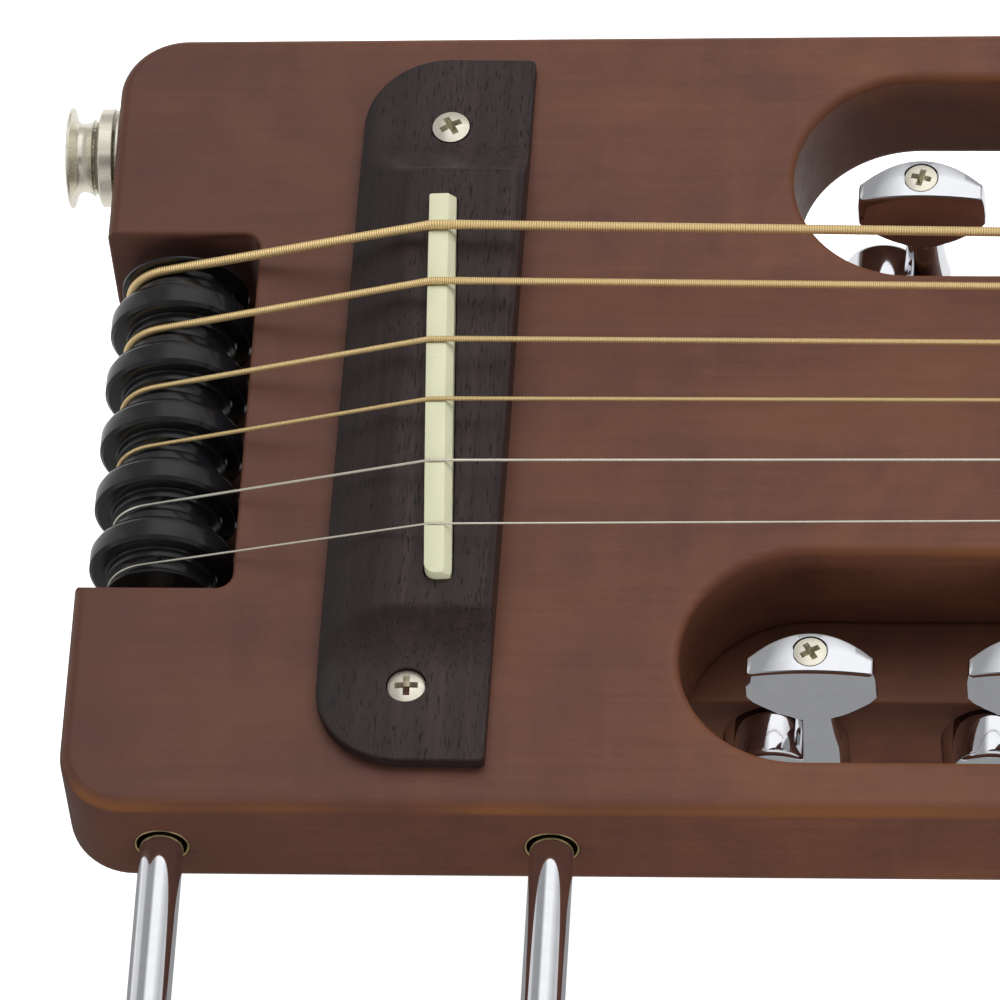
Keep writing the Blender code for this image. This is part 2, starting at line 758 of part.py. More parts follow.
def make_bridge():
    neck_edge = BRIDGE_TAIL_EDGE + BRIDGE_LENGTH
    half = BRIDGE_WIDTH / 2
    plan = [
        (BRIDGE_TAIL_EDGE, -half, BRIDGE_TAIL_CORNER),
        (neck_edge, -half, BRIDGE_NECK_CORNER),
        (neck_edge, half, BRIDGE_NECK_CORNER),
        (BRIDGE_TAIL_EDGE, half, BRIDGE_TAIL_CORNER),
    ]
    top = BRIDGE_BASE + BRIDGE_HEIGHT
    wing = BRIDGE_BASE + BRIDGE_WING
    rings = []
    # Places across the bridge, with the share of the rise from wing to plateau
    scoop = [
        (half * 1.1, 0),
        (BRIDGE_WING_START + BRIDGE_SCOOP, 0),
        (BRIDGE_WING_START + BRIDGE_SCOOP * 0.4, 0.25),
        (BRIDGE_WING_START, 0.85),
        (BRIDGE_WING_START - BRIDGE_SCOOP * 0.3, 1),
    ]
    for y, rise in [(-y, rise) for y, rise in scoop] + scoop[::-1]:
        level = wing + (top - wing) * rise
        rings.append([
            (BRIDGE_TAIL_EDGE - FIT, y, BRIDGE_BASE), (neck_edge + FIT, y, BRIDGE_BASE),
            (neck_edge + FIT, y, level - BRIDGE_EDGE), (neck_edge - BRIDGE_EDGE, y, level),
            (BRIDGE_TAIL_EDGE + BRIDGE_SLOPE, y, level), (BRIDGE_TAIL_EDGE - FIT, y, wing - BRIDGE_EDGE / 2),
        ])
    plan_block = prism(rounded_outline(plan, 5), "Z", BRIDGE_BASE - FIT, top * 1.1)
    blocks = [on_bridge(loft(rings)), on_bridge(plan_block)]
    bridge = fused("bridge", blocks, "rosewood", "INTERSECT", smooth=False)
    carve(bridge, slanted(prism(saddle_outline(FIT), "Z", SLOT_FLOOR, top * 1.2)))
    carve(bridge, rod("Z", LEAD_RADIUS + FIT, 0, top, 10, lead_place()))
    for _, x, y, sink in bridge_screws():
        carve(bridge, moved(screw_hole(SCREW_LENGTH), (x, y, wing - sink)))
    bridge.data.shade_smooth()
    bridge.data.set_sharp_from_angle(angle=radians(30))
    for name, x, y, sink in bridge_screws():
        solid(f"bridge_screw_{name}", *screw_shape(SCREW_LENGTH), "steel", (x, y, wing - sink))


def make_saddle():
    low = SLOT_FLOOR + FIT + PIEZO_THICK + FIT
    thick = SADDLE_THICK / 2
    half = SADDLE_LENGTH / 2
    rings = []
    steps = 3
    stations = []
    for step in range(1, steps + 1):
        angle = pi / 2 * step / steps
        stations.append((-half + thick * (1 - cos(angle)), sin(angle)))
    stations += [(half * share, 1) for share in (-0.6, -0.3, 0, 0.3, 0.6)]
    stations += [(-y, width) for y, width in reversed(stations[:steps])]
    for y, width in stations:
        place_now = y + SADDLE_SHIFT
        top = FACE + SADDLE_TOP - crown(place_now)
        x = thick * width
        section = [
            (-x, low), (x, low), (x, top - thick * 0.5),
            (x * 0.3, top), (-x * 0.6, top), (-x, top - thick * 0.25),
        ]
        rings.append([(u, place_now, z) for u, z in section])
    solid("saddle", *slanted(loft(rings)), "bone")
    start = SADDLE_SHIFT - half + thick
    length = SADDLE_LENGTH - 2 * thick
    strip = box((-PIEZO_WIDTH / 2, PIEZO_WIDTH / 2), (start, start + length), (SLOT_FLOOR + FIT, low - FIT))
    solid("pickup_strip", *slanted(strip), "copper", smooth=False)


def make_lead():
    """The screened wire from the pickup strip down and across to the jack."""
    x, y = lead_place()
    knee = np.array((JACK_BARREL_END + LEAD_BORE * 1.5, JACK_Y - LEAD_BORE * 0.5))
    run = knee - (x, y)
    run /= np.linalg.norm(run)
    bend = LEAD_RADIUS * 0.7
    points = [
        (x, y, SLOT_FLOOR),
        (x, y, JACK_Z + bend),
        (x + run[0] * bend, y + run[1] * bend, JACK_Z),
        (*(knee - run * bend), JACK_Z),
        (knee[0] - bend, knee[1], JACK_Z),
        (JACK_BARREL_END + FIT, knee[1], JACK_Z),
    ]
    tube("pickup_lead", points, [LEAD_RADIUS] * len(points), "lead")


# Tuners

def gear_shape(side):
    """A gear and its string post about Y, with the teeth twisted to the worm's lead."""
    lead = WORM_PITCH / (2 * pi * WORM_RADIUS)
    tooth = 2 * pi / GEAR_TEETH
    gap_share = 1 - TOOTH_SHARE
    slope = tan(FLANK) / GEAR_RADIUS
    gap_tip = tooth * gap_share / 2 + ADDENDUM * slope
    gap_root = tooth * gap_share / 2 - DEDENDUM * slope
    tip = GEAR_RADIUS + ADDENDUM
    root = GEAR_RADIUS - DEDENDUM
    marks = [(root, -gap_root), (root, gap_root), (tip, gap_tip), (tip, tooth - gap_tip)]
    verts = []
    faces = []
    count = GEAR_TEETH * len(marks)
    for level in (-1, 1):
        y = level * GEAR_FACE / 2
        twist = y * lead / GEAR_RADIUS
        for k in range(GEAR_TEETH):
            for radius, angle in marks:
                # Angles run from +X towards -Z, as a turn about +Y does
                here = k * tooth + angle + twist
                verts.append((radius * cos(here), y, -radius * sin(here)))
    for k in range(count):
        after = (k + 1) % count
        faces.append((k, after, count + after, count + k))
    # The post leaves the gear face that looks at the centre line
    inner = 0 if side > 0 else count
    outer = count - inner
    faces.append(tuple(range(outer, outer + count)))
    post = len(verts)
    tip_y = POST_TIP - TUNER_Y
    ends = [
        (POST_RADIUS, -GEAR_FACE / 2),
        (POST_RADIUS, tip_y + POST_RADIUS / 5),
        (POST_RADIUS * 0.85, tip_y),
    ]
    for radius, y in ends:
        for k in range(GEAR_TEETH):
            here = k * tooth
            verts.append((radius * cos(here), side * y, -radius * sin(here)))
    each = len(marks)
    for k in range(GEAR_TEETH):
        hub = post + k
        next_hub = post + (k + 1) % GEAR_TEETH
        first = inner + k * each
        for j in range(each):
            faces.append((hub, first + j, inner + (k * each + j + 1) % count))
        faces.append((hub, inner + (k * each + each) % count, next_hub))
    for level in range(len(ends) - 1):
        low = post + level * GEAR_TEETH
        for k in range(GEAR_TEETH):
            after = (k + 1) % GEAR_TEETH
            faces.append((low + k, low + after, low + GEAR_TEETH + after, low + GEAR_TEETH + k))
    faces.append(tuple(range(len(verts) - GEAR_TEETH, len(verts))))
    return verts, faces


def worm_shape():
    """A right-handed single-start worm on the button's shaft, with the button screw on top."""
    half_tip = (TOOTH_SHARE / 2 * WORM_PITCH - ADDENDUM * tan(FLANK)) / WORM_PITCH
    half_root = (TOOTH_SHARE / 2 * WORM_PITCH + DEDENDUM * tan(FLANK)) / WORM_PITCH
    marks = [(-half_root, 0), (-half_tip, 1), (half_tip, 1), (half_root, 0)]
    span = WORM_TURNS - 1 / WORM_COLUMNS
    start = -WORM_PITCH * span / 2
    phase = pi - pi * span
    top = BUTTON_TOP + GEAR_DEPTH
    head_low = top - BUTTON_SCREW_HEIGHT
    above = [
        (WORM_CORE, WORM_HALF), (SHAFT_RADIUS, WORM_HALF), (SHAFT_RADIUS, head_low),
        (BUTTON_SCREW_RADIUS, head_low), (BUTTON_SCREW_RADIUS, top - FIT), (BUTTON_SCREW_RADIUS * 0.85, top),
    ]
    verts = []
    for k in range(WORM_COLUMNS):
        angle = 2 * pi * k / WORM_COLUMNS + phase
        column = [(WORM_CORE, -WORM_HALF)]
        for turn in range(WORM_TURNS):
            along = turn + k / WORM_COLUMNS
            rise = min(1, 2 * along, 2 * (span - along))
            for share, lift in marks:
                z = start + WORM_PITCH * (along + share)
                column.append((WORM_CORE + lift * rise * (WORM_TIP - WORM_CORE), z))
        column += above
        verts += [(radius * cos(angle), radius * sin(angle), z) for radius, z in column]
    count = len(verts) // WORM_COLUMNS
    each = len(marks)
    faces = []
    for k in range(WORM_COLUMNS - 1):
        here = k * count
        for j in range(count - 1):
            faces.append((here + j, here + count + j, here + count + j + 1, here + j + 1))
    # Across the seam the thread climbs by one turn
    last = (WORM_COLUMNS - 1) * count
    for j in range(each):
        faces.append((last, j, j + 1))
    faces.append((last, each, each + 1))
    faces.append((last, each + 1, last + 1))
    top_mark = each * WORM_TURNS
    for j in range(1, top_mark - each):
        faces.append((last + j, each + j, each + j + 1, last + j + 1))
    collar = top_mark + 1
    for j in range(top_mark - each, top_mark + 1):
        faces.append((last + j, top_mark, last + j + 1))
    faces.append((last + collar, top_mark, collar))
    for j in range(collar, count - 1):
        faces.append((last + j, j, j + 1, last + j + 1))
    faces.append(tuple(k * count for k in range(WORM_COLUMNS)))
    faces.append(tuple(k * count + count - 1 for k in range(WORM_COLUMNS)))
    return verts, faces


def button_shape():
    """A button with a flat face towards the treble side and a bulged face towards the bass side."""
    half = BUTTON_WIDTH / 2
    bottom = GEAR_DEPTH - NECK_TOP + FIT
    top = GEAR_DEPTH + BUTTON_TOP
    tall = top - bottom
    # Share of the half width, top and bottom as shares of the height below the top
    stations = [
        (0, 0, 1), (0.22, 0.005, 0.98), (0.5, 0.01, 0.81),
        (0.72, 0.02, 0.72), (0.9, 0.04, 0.62), (1, 0.5, 0.56),
    ]
    rings = []
    for share, high, low in stations[:0:-1] + stations:
        sign = -1 if len(rings) < len(stations) - 1 else 1
        bulge = BUTTON_EDGE + (BUTTON_THICK - BUTTON_EDGE) * (1 - min(share / 0.9, 1) ** 2)
        x = sign * share * half
        near = -BUTTON_FACE
        far = near + bulge
        rings.append([(x, near, top - tall * high), (x, far, top - tall * high),
                      (x, far, top - tall * low), (x, near, top - tall * low)])
    return loft(rings)


def housing_shapes(side):
    """Solid forms and hollows of a tuner housing about the gear's centre, with Y out of the keel."""
    inner = POCKET_FLOOR + FIT - TUNER_Y
    outer = HOUSING_BACK - TUNER_Y
    cover = turned([(HOUSING_RADIUS, inner), (HOUSING_RADIUS, outer - HOUSING_WALL),
                    (HOUSING_RADIUS - HOUSING_WALL, outer)], "Y", 16)
    worm_room = WORM_HALF + FIT
    neck_top = GEAR_DEPTH - NECK_TOP
    barrel = turned([(BARREL_RADIUS - HOUSING_WALL, -worm_room - HOUSING_WALL), (BARREL_RADIUS, -worm_room),
                     (BARREL_RADIUS, worm_room), (NECK_RADIUS, neck_top)], "Z", 12)
    barrel = moved(barrel, (TUNER_CENTRES, 0, 0))
    bridge_span = (0, TUNER_CENTRES)
    web = box(bridge_span, (-BARREL_RADIUS * 0.9, outer - HOUSING_WALL), (-worm_room, worm_room * 0.9))
    gear_room = GEAR_FACE / 2 + FIT
    hollow_radius = GEAR_RADIUS + ADDENDUM + FIT
    gear_hollow = turned([(hollow_radius, -gear_room), (hollow_radius, gear_room)], "Y", 14)
    worm_hollow = turned([(WORM_TIP + FIT, -worm_room), (WORM_TIP + FIT, worm_room),
                          (SHAFT_RADIUS + FIT, worm_room), (SHAFT_RADIUS + FIT, neck_top + FIT * 3)], "Z", 10)
    worm_hollow = moved(worm_hollow, (TUNER_CENTRES, 0, 0))
    post_bore = turned([(POST_RADIUS + FIT, inner - FIT * 3), (POST_RADIUS + FIT, 0)], "Y", 12)
    solids = [cover, barrel, web]
    hollows = [gear_hollow, worm_hollow, post_bore]
    if side < 0:
        solids = [mirrored(shape) for shape in solids]
        hollows = [mirrored(shape) for shape in hollows]
    return solids, hollows


def mirrored(shape):
    return [(x, -y, z) for x, y, z in shape[0]], shape[1]


def make_tuner(number, side, shaft_x):
    gear_x = shaft_x - TUNER_CENTRES
    y = side * TUNER_Y
    solids, hollows = housing_shapes(side)
    housing = fused(f"tuner_housing_{number}", solids, "chrome", "UNION", (gear_x, y, GEAR_Z))
    for hollow in hollows:
        carve(housing, hollow)
    housing.data.shade_smooth()
    housing.data.set_sharp_from_angle(angle=radians(35))
    pivot = empty(f"tuner_pivot_{number}", (shaft_x, y, GEAR_Z))
    pivot.parent = ROOT
    shaft = solid(f"worm_shaft_{number}", *worm_shape(), "steel")
    shaft.parent = pivot
    button = solid(f"tuner_button_{number}", *button_shape(), "chrome")
    button.parent = pivot
    top = GEAR_DEPTH + BUTTON_TOP
    seat = top - BUTTON_SCREW_HEIGHT - FIT
    bore = turned([(SHAFT_RADIUS + FIT, 0), (SHAFT_RADIUS + FIT, seat), (BUTTON_SCREW_RADIUS + FIT, seat),
                   (BUTTON_SCREW_RADIUS + FIT, top * 1.1)], "Z", 14)
    carve(button, bore)
    button.data.shade_smooth()
    button.data.set_sharp_from_angle(angle=radians(30))
    post = solid(f"string_post_{number}", *gear_shape(side), "steel", (gear_x, y, GEAR_Z))
    lane = side * (lane_y(number) - TUNER_Y)
    hole_reach = POST_RADIUS * 1.5
    hole = moved(rod("Z", POST_HOLE_RADIUS, -hole_reach, hole_reach, 8), (0, lane, 0))
    carve(post, hole)
    post.data.shade_smooth()
    post.data.set_sharp_from_angle(angle=radians(35))


def lane_y(number):
    """Distance from the centre line of the middle of a string's windings."""
    order = min(number - 1, STRINGS - number)
    return OUTER_LANE - order * LANE_PITCH


# Neck fittings

def make_fretboard():
    stations = [(BOARD_START, 0)]
    for number in range(FRETS, 0, -1):
        x = fret_x(number)
        for shift, lift in ((-0.5, 0), (-0.2, 1), (0.2, 1), (0.5, 0)):
            stations.append((x + shift * FRET_WIDTH, lift * FRET_HEIGHT))
    stations.append((NUT_X - FIT, 0))
    rings = []
    for x, lift in stations:
        half = board_half(x)
        base = FACE + FIT
        ring = [(x, -half, base), (x, half, base)]
        ring += [(x, y, z) for y, z in arc_top(half, FACE + BOARD_THICK + lift, 3)]
        rings.append(ring)
    solid("fretboard", *loft(rings), "rosewood")


def nut_top():
    return FACE + BOARD_THICK + FRET_HEIGHT + NUT_ACTION


def make_nut():
    half = NUT_WIDTH / 2
    outline = [(-half, FACE + FIT), (half, FACE + FIT)] + arc_top(half, nut_top(), 8)
    solid("nut", *prism(outline, "X", NUT_X, NUT_X + NUT_LENGTH), "bone", smooth=False)


def make_truss_rod():
    end = NUT_X + NUT_LENGTH + TRUSS_CHANNEL_DEPTH - FIT
    nut = end - TRUSS_CHANNEL_DEPTH
    radius = TRUSS_RADIUS
    profile = [
        (radius, TRUSS_START), (radius, nut), (radius * 0.7, nut), (radius * 0.7, nut + radius / 2),
        (radius, nut + radius / 2), (radius, end), (radius * 0.55, end), (radius * 0.55, end - radius),
    ]
    z = FACE - TRUSS_CHANNEL_DEPTH + FIT + radius
    solid("truss_rod", *moved(turned(profile, "X", 10), (0, 0, z)), "steel")


def string_y(number, spread):
    return (number - (STRINGS + 1) / 2) * spread / (STRINGS - 1)


def make_anchor():
    wall = anchor_wall_x()
    base = FACE + FIT
    profile = [
        (wall - ANCHOR_FOOT, base), (wall + ANCHOR_WALL, base), (wall + ANCHOR_WALL, FACE + ANCHOR_HEIGHT),
        (wall, FACE + ANCHOR_HEIGHT), (wall, base + ANCHOR_BASE), (wall - ANCHOR_FOOT, base + ANCHOR_BASE),
    ]
    half = NUT_WIDTH / 2
    block = prism([(z, x) for x, z in profile], "Y", -half, half)
    anchor = solid("string_anchor", *block, "steel", smooth=False)
    for number in range(1, STRINGS + 1):
        y = string_y(number, NUT_SPREAD)
        reach = STRING_GAUGES[number - 1] / 2 + FIT
        span = (wall - FIT * 3, wall + ANCHOR_WALL + FIT * 3)
        level = FACE + ANCHOR_BALL_HEIGHT - reach * 1.3
        carve(anchor, box(span, (y - reach, y + reach), (level, FACE + ANCHOR_HEIGHT * 2)))
    for name, y in (("treble", -ANCHOR_SCREW_Y), ("bass", ANCHOR_SCREW_Y)):
        place_now = (anchor_screw_x(), y, base + ANCHOR_BASE)
        carve(anchor, moved(screw_hole(SCREW_LENGTH), place_now))
        solid(f"anchor_screw_{name}", *screw_shape(SCREW_LENGTH), "steel", place_now)


# Strings

def string_points(number):
    """Centre line of a string, from the ball at the head to its last winding on the post."""
    gauge = STRING_GAUGES[number - 1]
    radius = gauge / 2
    side = 1 if number > TUNERS_A_SIDE else -1
    shaft_x = next(x for string, _, x in tuner_places() if string == number)
    nut_y = string_y(number, NUT_SPREAD)
    saddle_y = string_y(number, STRING_SPREAD)
    tail_y = roller_y(number)
    ball_x = anchor_wall_x() + ANCHOR_WALL + FIT
    ball_z = FACE + ANCHOR_BALL_HEIGHT
    nut_z = nut_top() - crown(nut_y) + FIT + radius
    top_x = saddle_x(saddle_y)
    top_z = FACE + SADDLE_TOP - crown(saddle_y) + FIT + radius
    ball = [(1, 0.6), (0.85, 1), (0.15, 1), (0, 0.6)]
    points = [((ball_x + BALL_LENGTH * share, nut_y, ball_z), BALL_RADIUS * size) for share, size in ball]
    points.append(((ball_x - FIT, nut_y, ball_z), radius))
    points.append(((NUT_X + NUT_LENGTH, nut_y, nut_z), radius))
    points.append(((NUT_X, nut_y, nut_z), radius))
    points.append(((top_x + SADDLE_THICK * 0.15, saddle_y, top_z), radius))
    points.append(((top_x - SADDLE_THICK * 0.3, saddle_y, top_z), radius))
    # Over the roller's tail side and back under it
    around = GROOVE_RADIUS + FIT + radius
    dx = top_x - SADDLE_THICK * 0.3 - ROLLER_X
    dz = top_z - ROLLER_Z
    climb = atan2(dz, dx) - asin(around / hypot(dx, dz))
    winding = POST_RADIUS + FIT + radius
    post_x = shaft_x - TUNER_CENTRES
    dx = post_x - ROLLER_X
    dz = GEAR_Z - ROLLER_Z
    slope = atan2(dz, dx) + asin((around + winding) / hypot(dx, dz))
    first = climb + pi / 2
    last = slope + 3 * pi / 2
    steps = 9
    for step in range(steps + 1):
        angle = first + (last - first) * step / steps
        points.append(((ROLLER_X + around * cos(angle), tail_y, ROLLER_Z + around * sin(angle)), radius))
    # Windings on the post, from its wall side towards its tip
    advance = gauge + WINDING_GAP
    middle = lane_y(number)
    first = slope + pi / 2
    turns = ceil(WINDINGS * WINDING_POINTS)
    for step in range(turns + 1):
        wound = WINDINGS * step / turns
        angle = first - 2 * pi * wound
        y = side * (middle + advance * (WINDINGS / 2 - wound))
        points.append(((post_x + winding * cos(angle), y, GEAR_Z + winding * sin(angle)), radius))
    return points


def least_winding_gap(points, radius):
    """The narrowest gap between a string's turns on its post, measured on points along them."""
    fine = 12
    line = []
    for here, after in zip(points, points[1:]):
        line += [np.add(here, np.subtract(after, here) * step / fine) for step in range(fine)]
    line = np.array(line)
    apart = np.linalg.norm(line[:, None] - line[None, :], axis=2)
    along = np.abs(np.subtract.outer(np.arange(len(line)), np.arange(len(line))))
    return apart[along > fine * WINDING_POINTS / 2].min() - 2 * radius


def make_strings():
    gaps = []
    for number in range(1, STRINGS + 1):
        points = string_points(number)
        finish = "steel" if number <= 2 else "bronze"
        tube(f"string_{number}", [p for p, _ in points], [r for _, r in points], finish)
        windings = [p for p, _ in points[-ceil(WINDINGS * WINDING_POINTS) - 1:]]
        gaps.append(least_winding_gap(windings, STRING_GAUGES[number - 1] / 2))
    print(f"least gap between a string's windings: {min(gaps) * 1000:.2f} mm")


# Lap rest, jack and strap button

def make_lap_rest():
    inner = -HALF + REST_INSERT
    outer = -HALF - REST_REACH
    first = REST_TAIL_X
    second = REST_TAIL_X + REST_SPACING
    bend = REST_BEND
    points = [(first, inner), (first, outer + bend)]
    steps = 6
    for step in range(1, steps):
        angle = pi + pi / 2 * step / steps
        points.append((first + bend + bend * cos(angle), outer + bend + bend * sin(angle)))
    points.append((first + bend, outer))
    points += [(first + second - x, y) for x, y in reversed(points)]
    path = [(x - first, y + HALF, 0) for x, y in points]
    rest = tube("lap_rest", path, [REST_ROD_RADIUS] * len(path), "chrome", 2)
    rest.location = (first, -HALF, REST_Z)
    inside = REST_ROD_RADIUS + FIT
    outside = inside + SOCKET_WALL
    profile = [(inside, 0), (outside, 0), (outside, SOCKET_LENGTH), (inside, SOCKET_LENGTH)]
    for name, x in (("tail", first), ("neck", second)):
        solid(f"lap_rest_socket_{name}", *turned_ring(profile, "Y", 20), "brass", (x, -HALF, REST_Z))


def make_jack():
    centre = (0, JACK_Y, JACK_Z)
    inside = JACK_SLEEVE_RADIUS + FIT
    washer_face = -FIT - WASHER_THICK
    washer = [(inside, washer_face), (JACK_NUT_RADIUS, washer_face), (JACK_NUT_RADIUS, -FIT), (inside, -FIT)]
    solid("jack_washer", *turned_ring(washer, "X", 20), "steel", centre)
    nut_back = washer_face - FIT
    nut_face = nut_back - JACK_NUT_LENGTH
    nut = [(inside, nut_face), (JACK_NUT_FACE, nut_face), (JACK_NUT_RADIUS, nut_face + JACK_NUT_BEVEL),
           (JACK_NUT_RADIUS, nut_back), (inside, nut_back)]
    solid("jack_nut", *turned_ring(nut, "X", 20), "steel", centre)
    back = nut_face - FIT
    face = back - COLLAR_LENGTH
    collar = [(inside, face), (COLLAR_FLANGE_RADIUS, face), (COLLAR_FLANGE_RADIUS, face + COLLAR_FLANGE),
              (COLLAR_NECK_RADIUS, face + 2 * COLLAR_FLANGE), (COLLAR_NECK_RADIUS, back), (inside, back)]
    solid("strap_collar", *turned_ring(collar, "X", 20), "steel", centre)
    profile = [
        (PLUG_BORE_RADIUS, JACK_BARREL_END * 0.9), (PLUG_BORE_RADIUS, face), (JACK_SLEEVE_RADIUS, face),
        (JACK_SLEEVE_RADIUS, JACK_BARREL_START), (JACK_BARREL_RADIUS, JACK_BARREL_START),
        (JACK_BARREL_RADIUS, JACK_BARREL_END),
    ]
    solid("endpin_jack", *turned(profile, "X", 20), "steel", centre)


def make_strap_button():
    x, z = strap_axis()
    inside = SCREW_SHANK_RADIUS + FIT
    head = SCREW_HEAD_RADIUS + FIT
    seat = STRAP_LENGTH - SCREW_HEAD_HEIGHT - FIT
    profile = [
        (inside, FIT), (STRAP_RADIUS * 0.9, FIT), (STRAP_NECK, STRAP_LENGTH * 0.35),
        (STRAP_NECK, STRAP_LENGTH * 0.6), (STRAP_RADIUS, STRAP_LENGTH * 0.8),
        (STRAP_RADIUS, STRAP_LENGTH * 0.9), (STRAP_RADIUS * 0.8, STRAP_LENGTH),
        (head, STRAP_LENGTH), (head, seat + SCREW_HEAD_HEIGHT * 0.8), (inside, seat),
    ]
    solid("strap_button", *turned_ring(profile, "Y", 14), "steel", (x, HALF, z))
    verts, faces = screw_shape(STRAP_SCREW_LENGTH)
    aligned = [(u, w, v) for u, v, w in verts]
    solid("strap_button_screw", aligned, faces, "steel", (x, HALF + STRAP_LENGTH, z))


def empty(name, location):
    made = bpy.data.objects.new(name, None)
    bpy.context.collection.objects.link(made)
    made.location = location
    return made


for old in list(bpy.data.objects):
    bpy.data.objects.remove(old, do_unlink=True)

ROOT = empty("guitar", (-KEEL_REST, 0, 0))
MATERIALS = {
    "maple": material("stained_maple", (0.10, 0.050, 0.035), 0.42),
    "rosewood": material("dark_rosewood", (0.028, 0.018, 0.013), 0.5),
    "roller": material("black_roller", (0.012, 0.012, 0.014), 0.15),
    "bone": material("bone", (0.72, 0.74, 0.60), 0.35),
    "chrome": material("chrome", (0.80, 0.81, 0.83), 0.05, 1.0),
    "steel": material("nickel_steel", (0.62, 0.61, 0.58), 0.25, 1.0),
    "bronze": material("bronze_wire", (0.78, 0.52, 0.24), 0.3, 1.0),
    "brass": material("brass", (0.75, 0.55, 0.25), 0.3, 1.0),
    "copper": material("copper_foil", (0.72, 0.40, 0.25), 0.35, 1.0),
    "lead": material("lead_jacket", (0.02, 0.02, 0.02), 0.6),
}
make_body()
make_rollers()
make_bridge()
make_saddle()
make_lead()
for place_of_tuner in tuner_places():
    make_tuner(*place_of_tuner)
make_fretboard()
make_nut()
make_truss_rod()
make_anchor()
make_strings()
make_lap_rest()
make_jack()
make_strap_button()
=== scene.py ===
"""Looks of the travel guitar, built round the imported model.

Metres, in the model's own frame: +X runs from the tail towards the head, +Y towards the bass
side and +Z out of the face. Lengths along the guitar are written from the tail edge and moved
by TAIL.
"""
from math import asin, atan, atan2, ceil, cos, hypot, pi, radians, sin, sqrt, tan

import bmesh
import bpy
import numpy as np
from mathutils import Matrix, Vector
from mathutils.geometry import tessellate_polygon


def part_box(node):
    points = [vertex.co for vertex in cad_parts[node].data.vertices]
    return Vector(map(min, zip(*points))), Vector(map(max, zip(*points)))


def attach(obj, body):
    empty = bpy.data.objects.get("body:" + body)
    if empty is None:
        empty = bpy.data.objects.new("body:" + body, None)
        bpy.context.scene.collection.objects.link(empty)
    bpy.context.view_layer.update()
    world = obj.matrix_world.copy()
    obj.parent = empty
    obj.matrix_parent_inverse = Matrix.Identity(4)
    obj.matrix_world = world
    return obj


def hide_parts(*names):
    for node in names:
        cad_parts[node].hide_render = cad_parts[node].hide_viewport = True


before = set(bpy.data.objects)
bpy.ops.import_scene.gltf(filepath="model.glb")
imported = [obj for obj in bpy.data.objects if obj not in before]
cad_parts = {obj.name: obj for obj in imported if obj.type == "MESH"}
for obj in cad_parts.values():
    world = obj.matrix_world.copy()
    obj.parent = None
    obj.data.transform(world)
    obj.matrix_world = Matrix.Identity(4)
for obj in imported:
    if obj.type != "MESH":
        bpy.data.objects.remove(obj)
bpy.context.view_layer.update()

# Where the frame puts the main levels
BODY_LOW, BODY_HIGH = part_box("neck_through_body")
TAIL = BODY_LOW.x
HALF = BODY_HIGH.y
FACE = BODY_HIGH.z

# Sizes shared with the solids
PLANK = 0.019
PLANK_BACK = FACE - PLANK
TAIL_RADIUS = 0.0095
TAIL_TAPER = 0.0013
TAPER_LENGTH = 0.130
BASS_SHOULDER = 0.308
TREBLE_SHOULDER = 0.284
SHOULDER_RADIUS = 0.032
SHOULDER_SLOPE = 0.036
TREBLE_FILLET = 0.016
BASS_FILLET = 0.0016
PLANK_END = 0.345
FRONT_ROUND = 0.0018
BACK_ROUND = 0.0026
KEEL_HALF = 0.0367
KEEL_TAIL = 0.076
KEEL_NARROWING = 0.268
KEEL_FLAT_END = 0.302
HEEL_LENGTH = 0.052
KEEL_CORNER = 0.004
LEDGE = PLANK_BACK + 0.0004
NOTCH_DEPTH = 0.0221
NOTCH_CORNER = 0.0024
ROLLER_PITCH = 0.01005
ROLLER_X = 0.0108
ROLLER_Z = FACE - 0.0093
GROOVE_RADIUS = 0.0068
STRINGS = 6
NOTCH_HALF = STRINGS * ROLLER_PITCH / 2 + 0.00015
SLOT_INNER = 0.0239
SLOT_WIDTH = 0.0343
SLOT_RADIUS = SLOT_WIDTH / 2
SLOT_MID = SLOT_INNER + SLOT_RADIUS
SLOT_END_LEAD = 0.0181
TUNER_PITCH = 0.0306
BASS_TUNER_X = 0.1159
TREBLE_TUNER_X = 0.1030
TUNERS_A_SIDE = 3
SCALE = 0.62865
FRETS = 21
SADDLE_X = 0.0501
NUT_X = SADDLE_X + SCALE
NUT_WIDTH = 0.0429
NUT_LENGTH = 0.005
BOARD_THICK = 0.006
BOARD_WIDTH_END = 0.0555
BOARD_OVERHANG = 0.007
CROWN_RADIUS = 0.305
NECK_EDGE = 0.003
NECK_DEPTH_NUT = 0.0145
NECK_DEPTH_HEEL = 0.0175
HEAD_LENGTH = 0.0315
HEAD_FLARE = 0.0025
HEAD_END = NUT_X + HEAD_LENGTH - 0.000001
FIT = 0.0003

# Cuts in the body, and the bar of wood under the rollers
AXLE_BORE = 0.0023
AXLE_REACH = 0.0388
POST_BORE = 0.0033
POST_BORE_SPAN = (0.0195, 0.035)
JACK_BORE = 0.0059
JACK_BORE_END = 0.04
BAR_START = 0.0165
BAR_TOP = 0.0188
BAR_BOTTOM = 0.0203
TRUSS_CHANNEL = 0.0031
TRUSS_CHANNEL_DEPTH = 0.0085
POCKET_RADIUS = 0.0089
POCKET_SHIFT = 0.00475
POCKET_TOP = 0.0195
POCKET_DEPTH = 0.0032


# Shapes: each is a list of points and a list of faces

def loft(rings, closed=False):
    """Faces through rings of equal count, capped at both ends or closed on itself."""
    count = len(rings[0])
    points = [point for ring in rings for point in ring]
    faces = []
    for level in range(len(rings) if closed else len(rings) - 1):
        low = level * count
        high = (level + 1) % len(rings) * count
        for k in range(count):
            after = (k + 1) % count
            faces.append((low + k, low + after, high + after, high + k))
    if not closed:
        faces.append(tuple(range(count))[::-1])
        faces.append(tuple(range(len(points) - count, len(points))))
    return points, faces


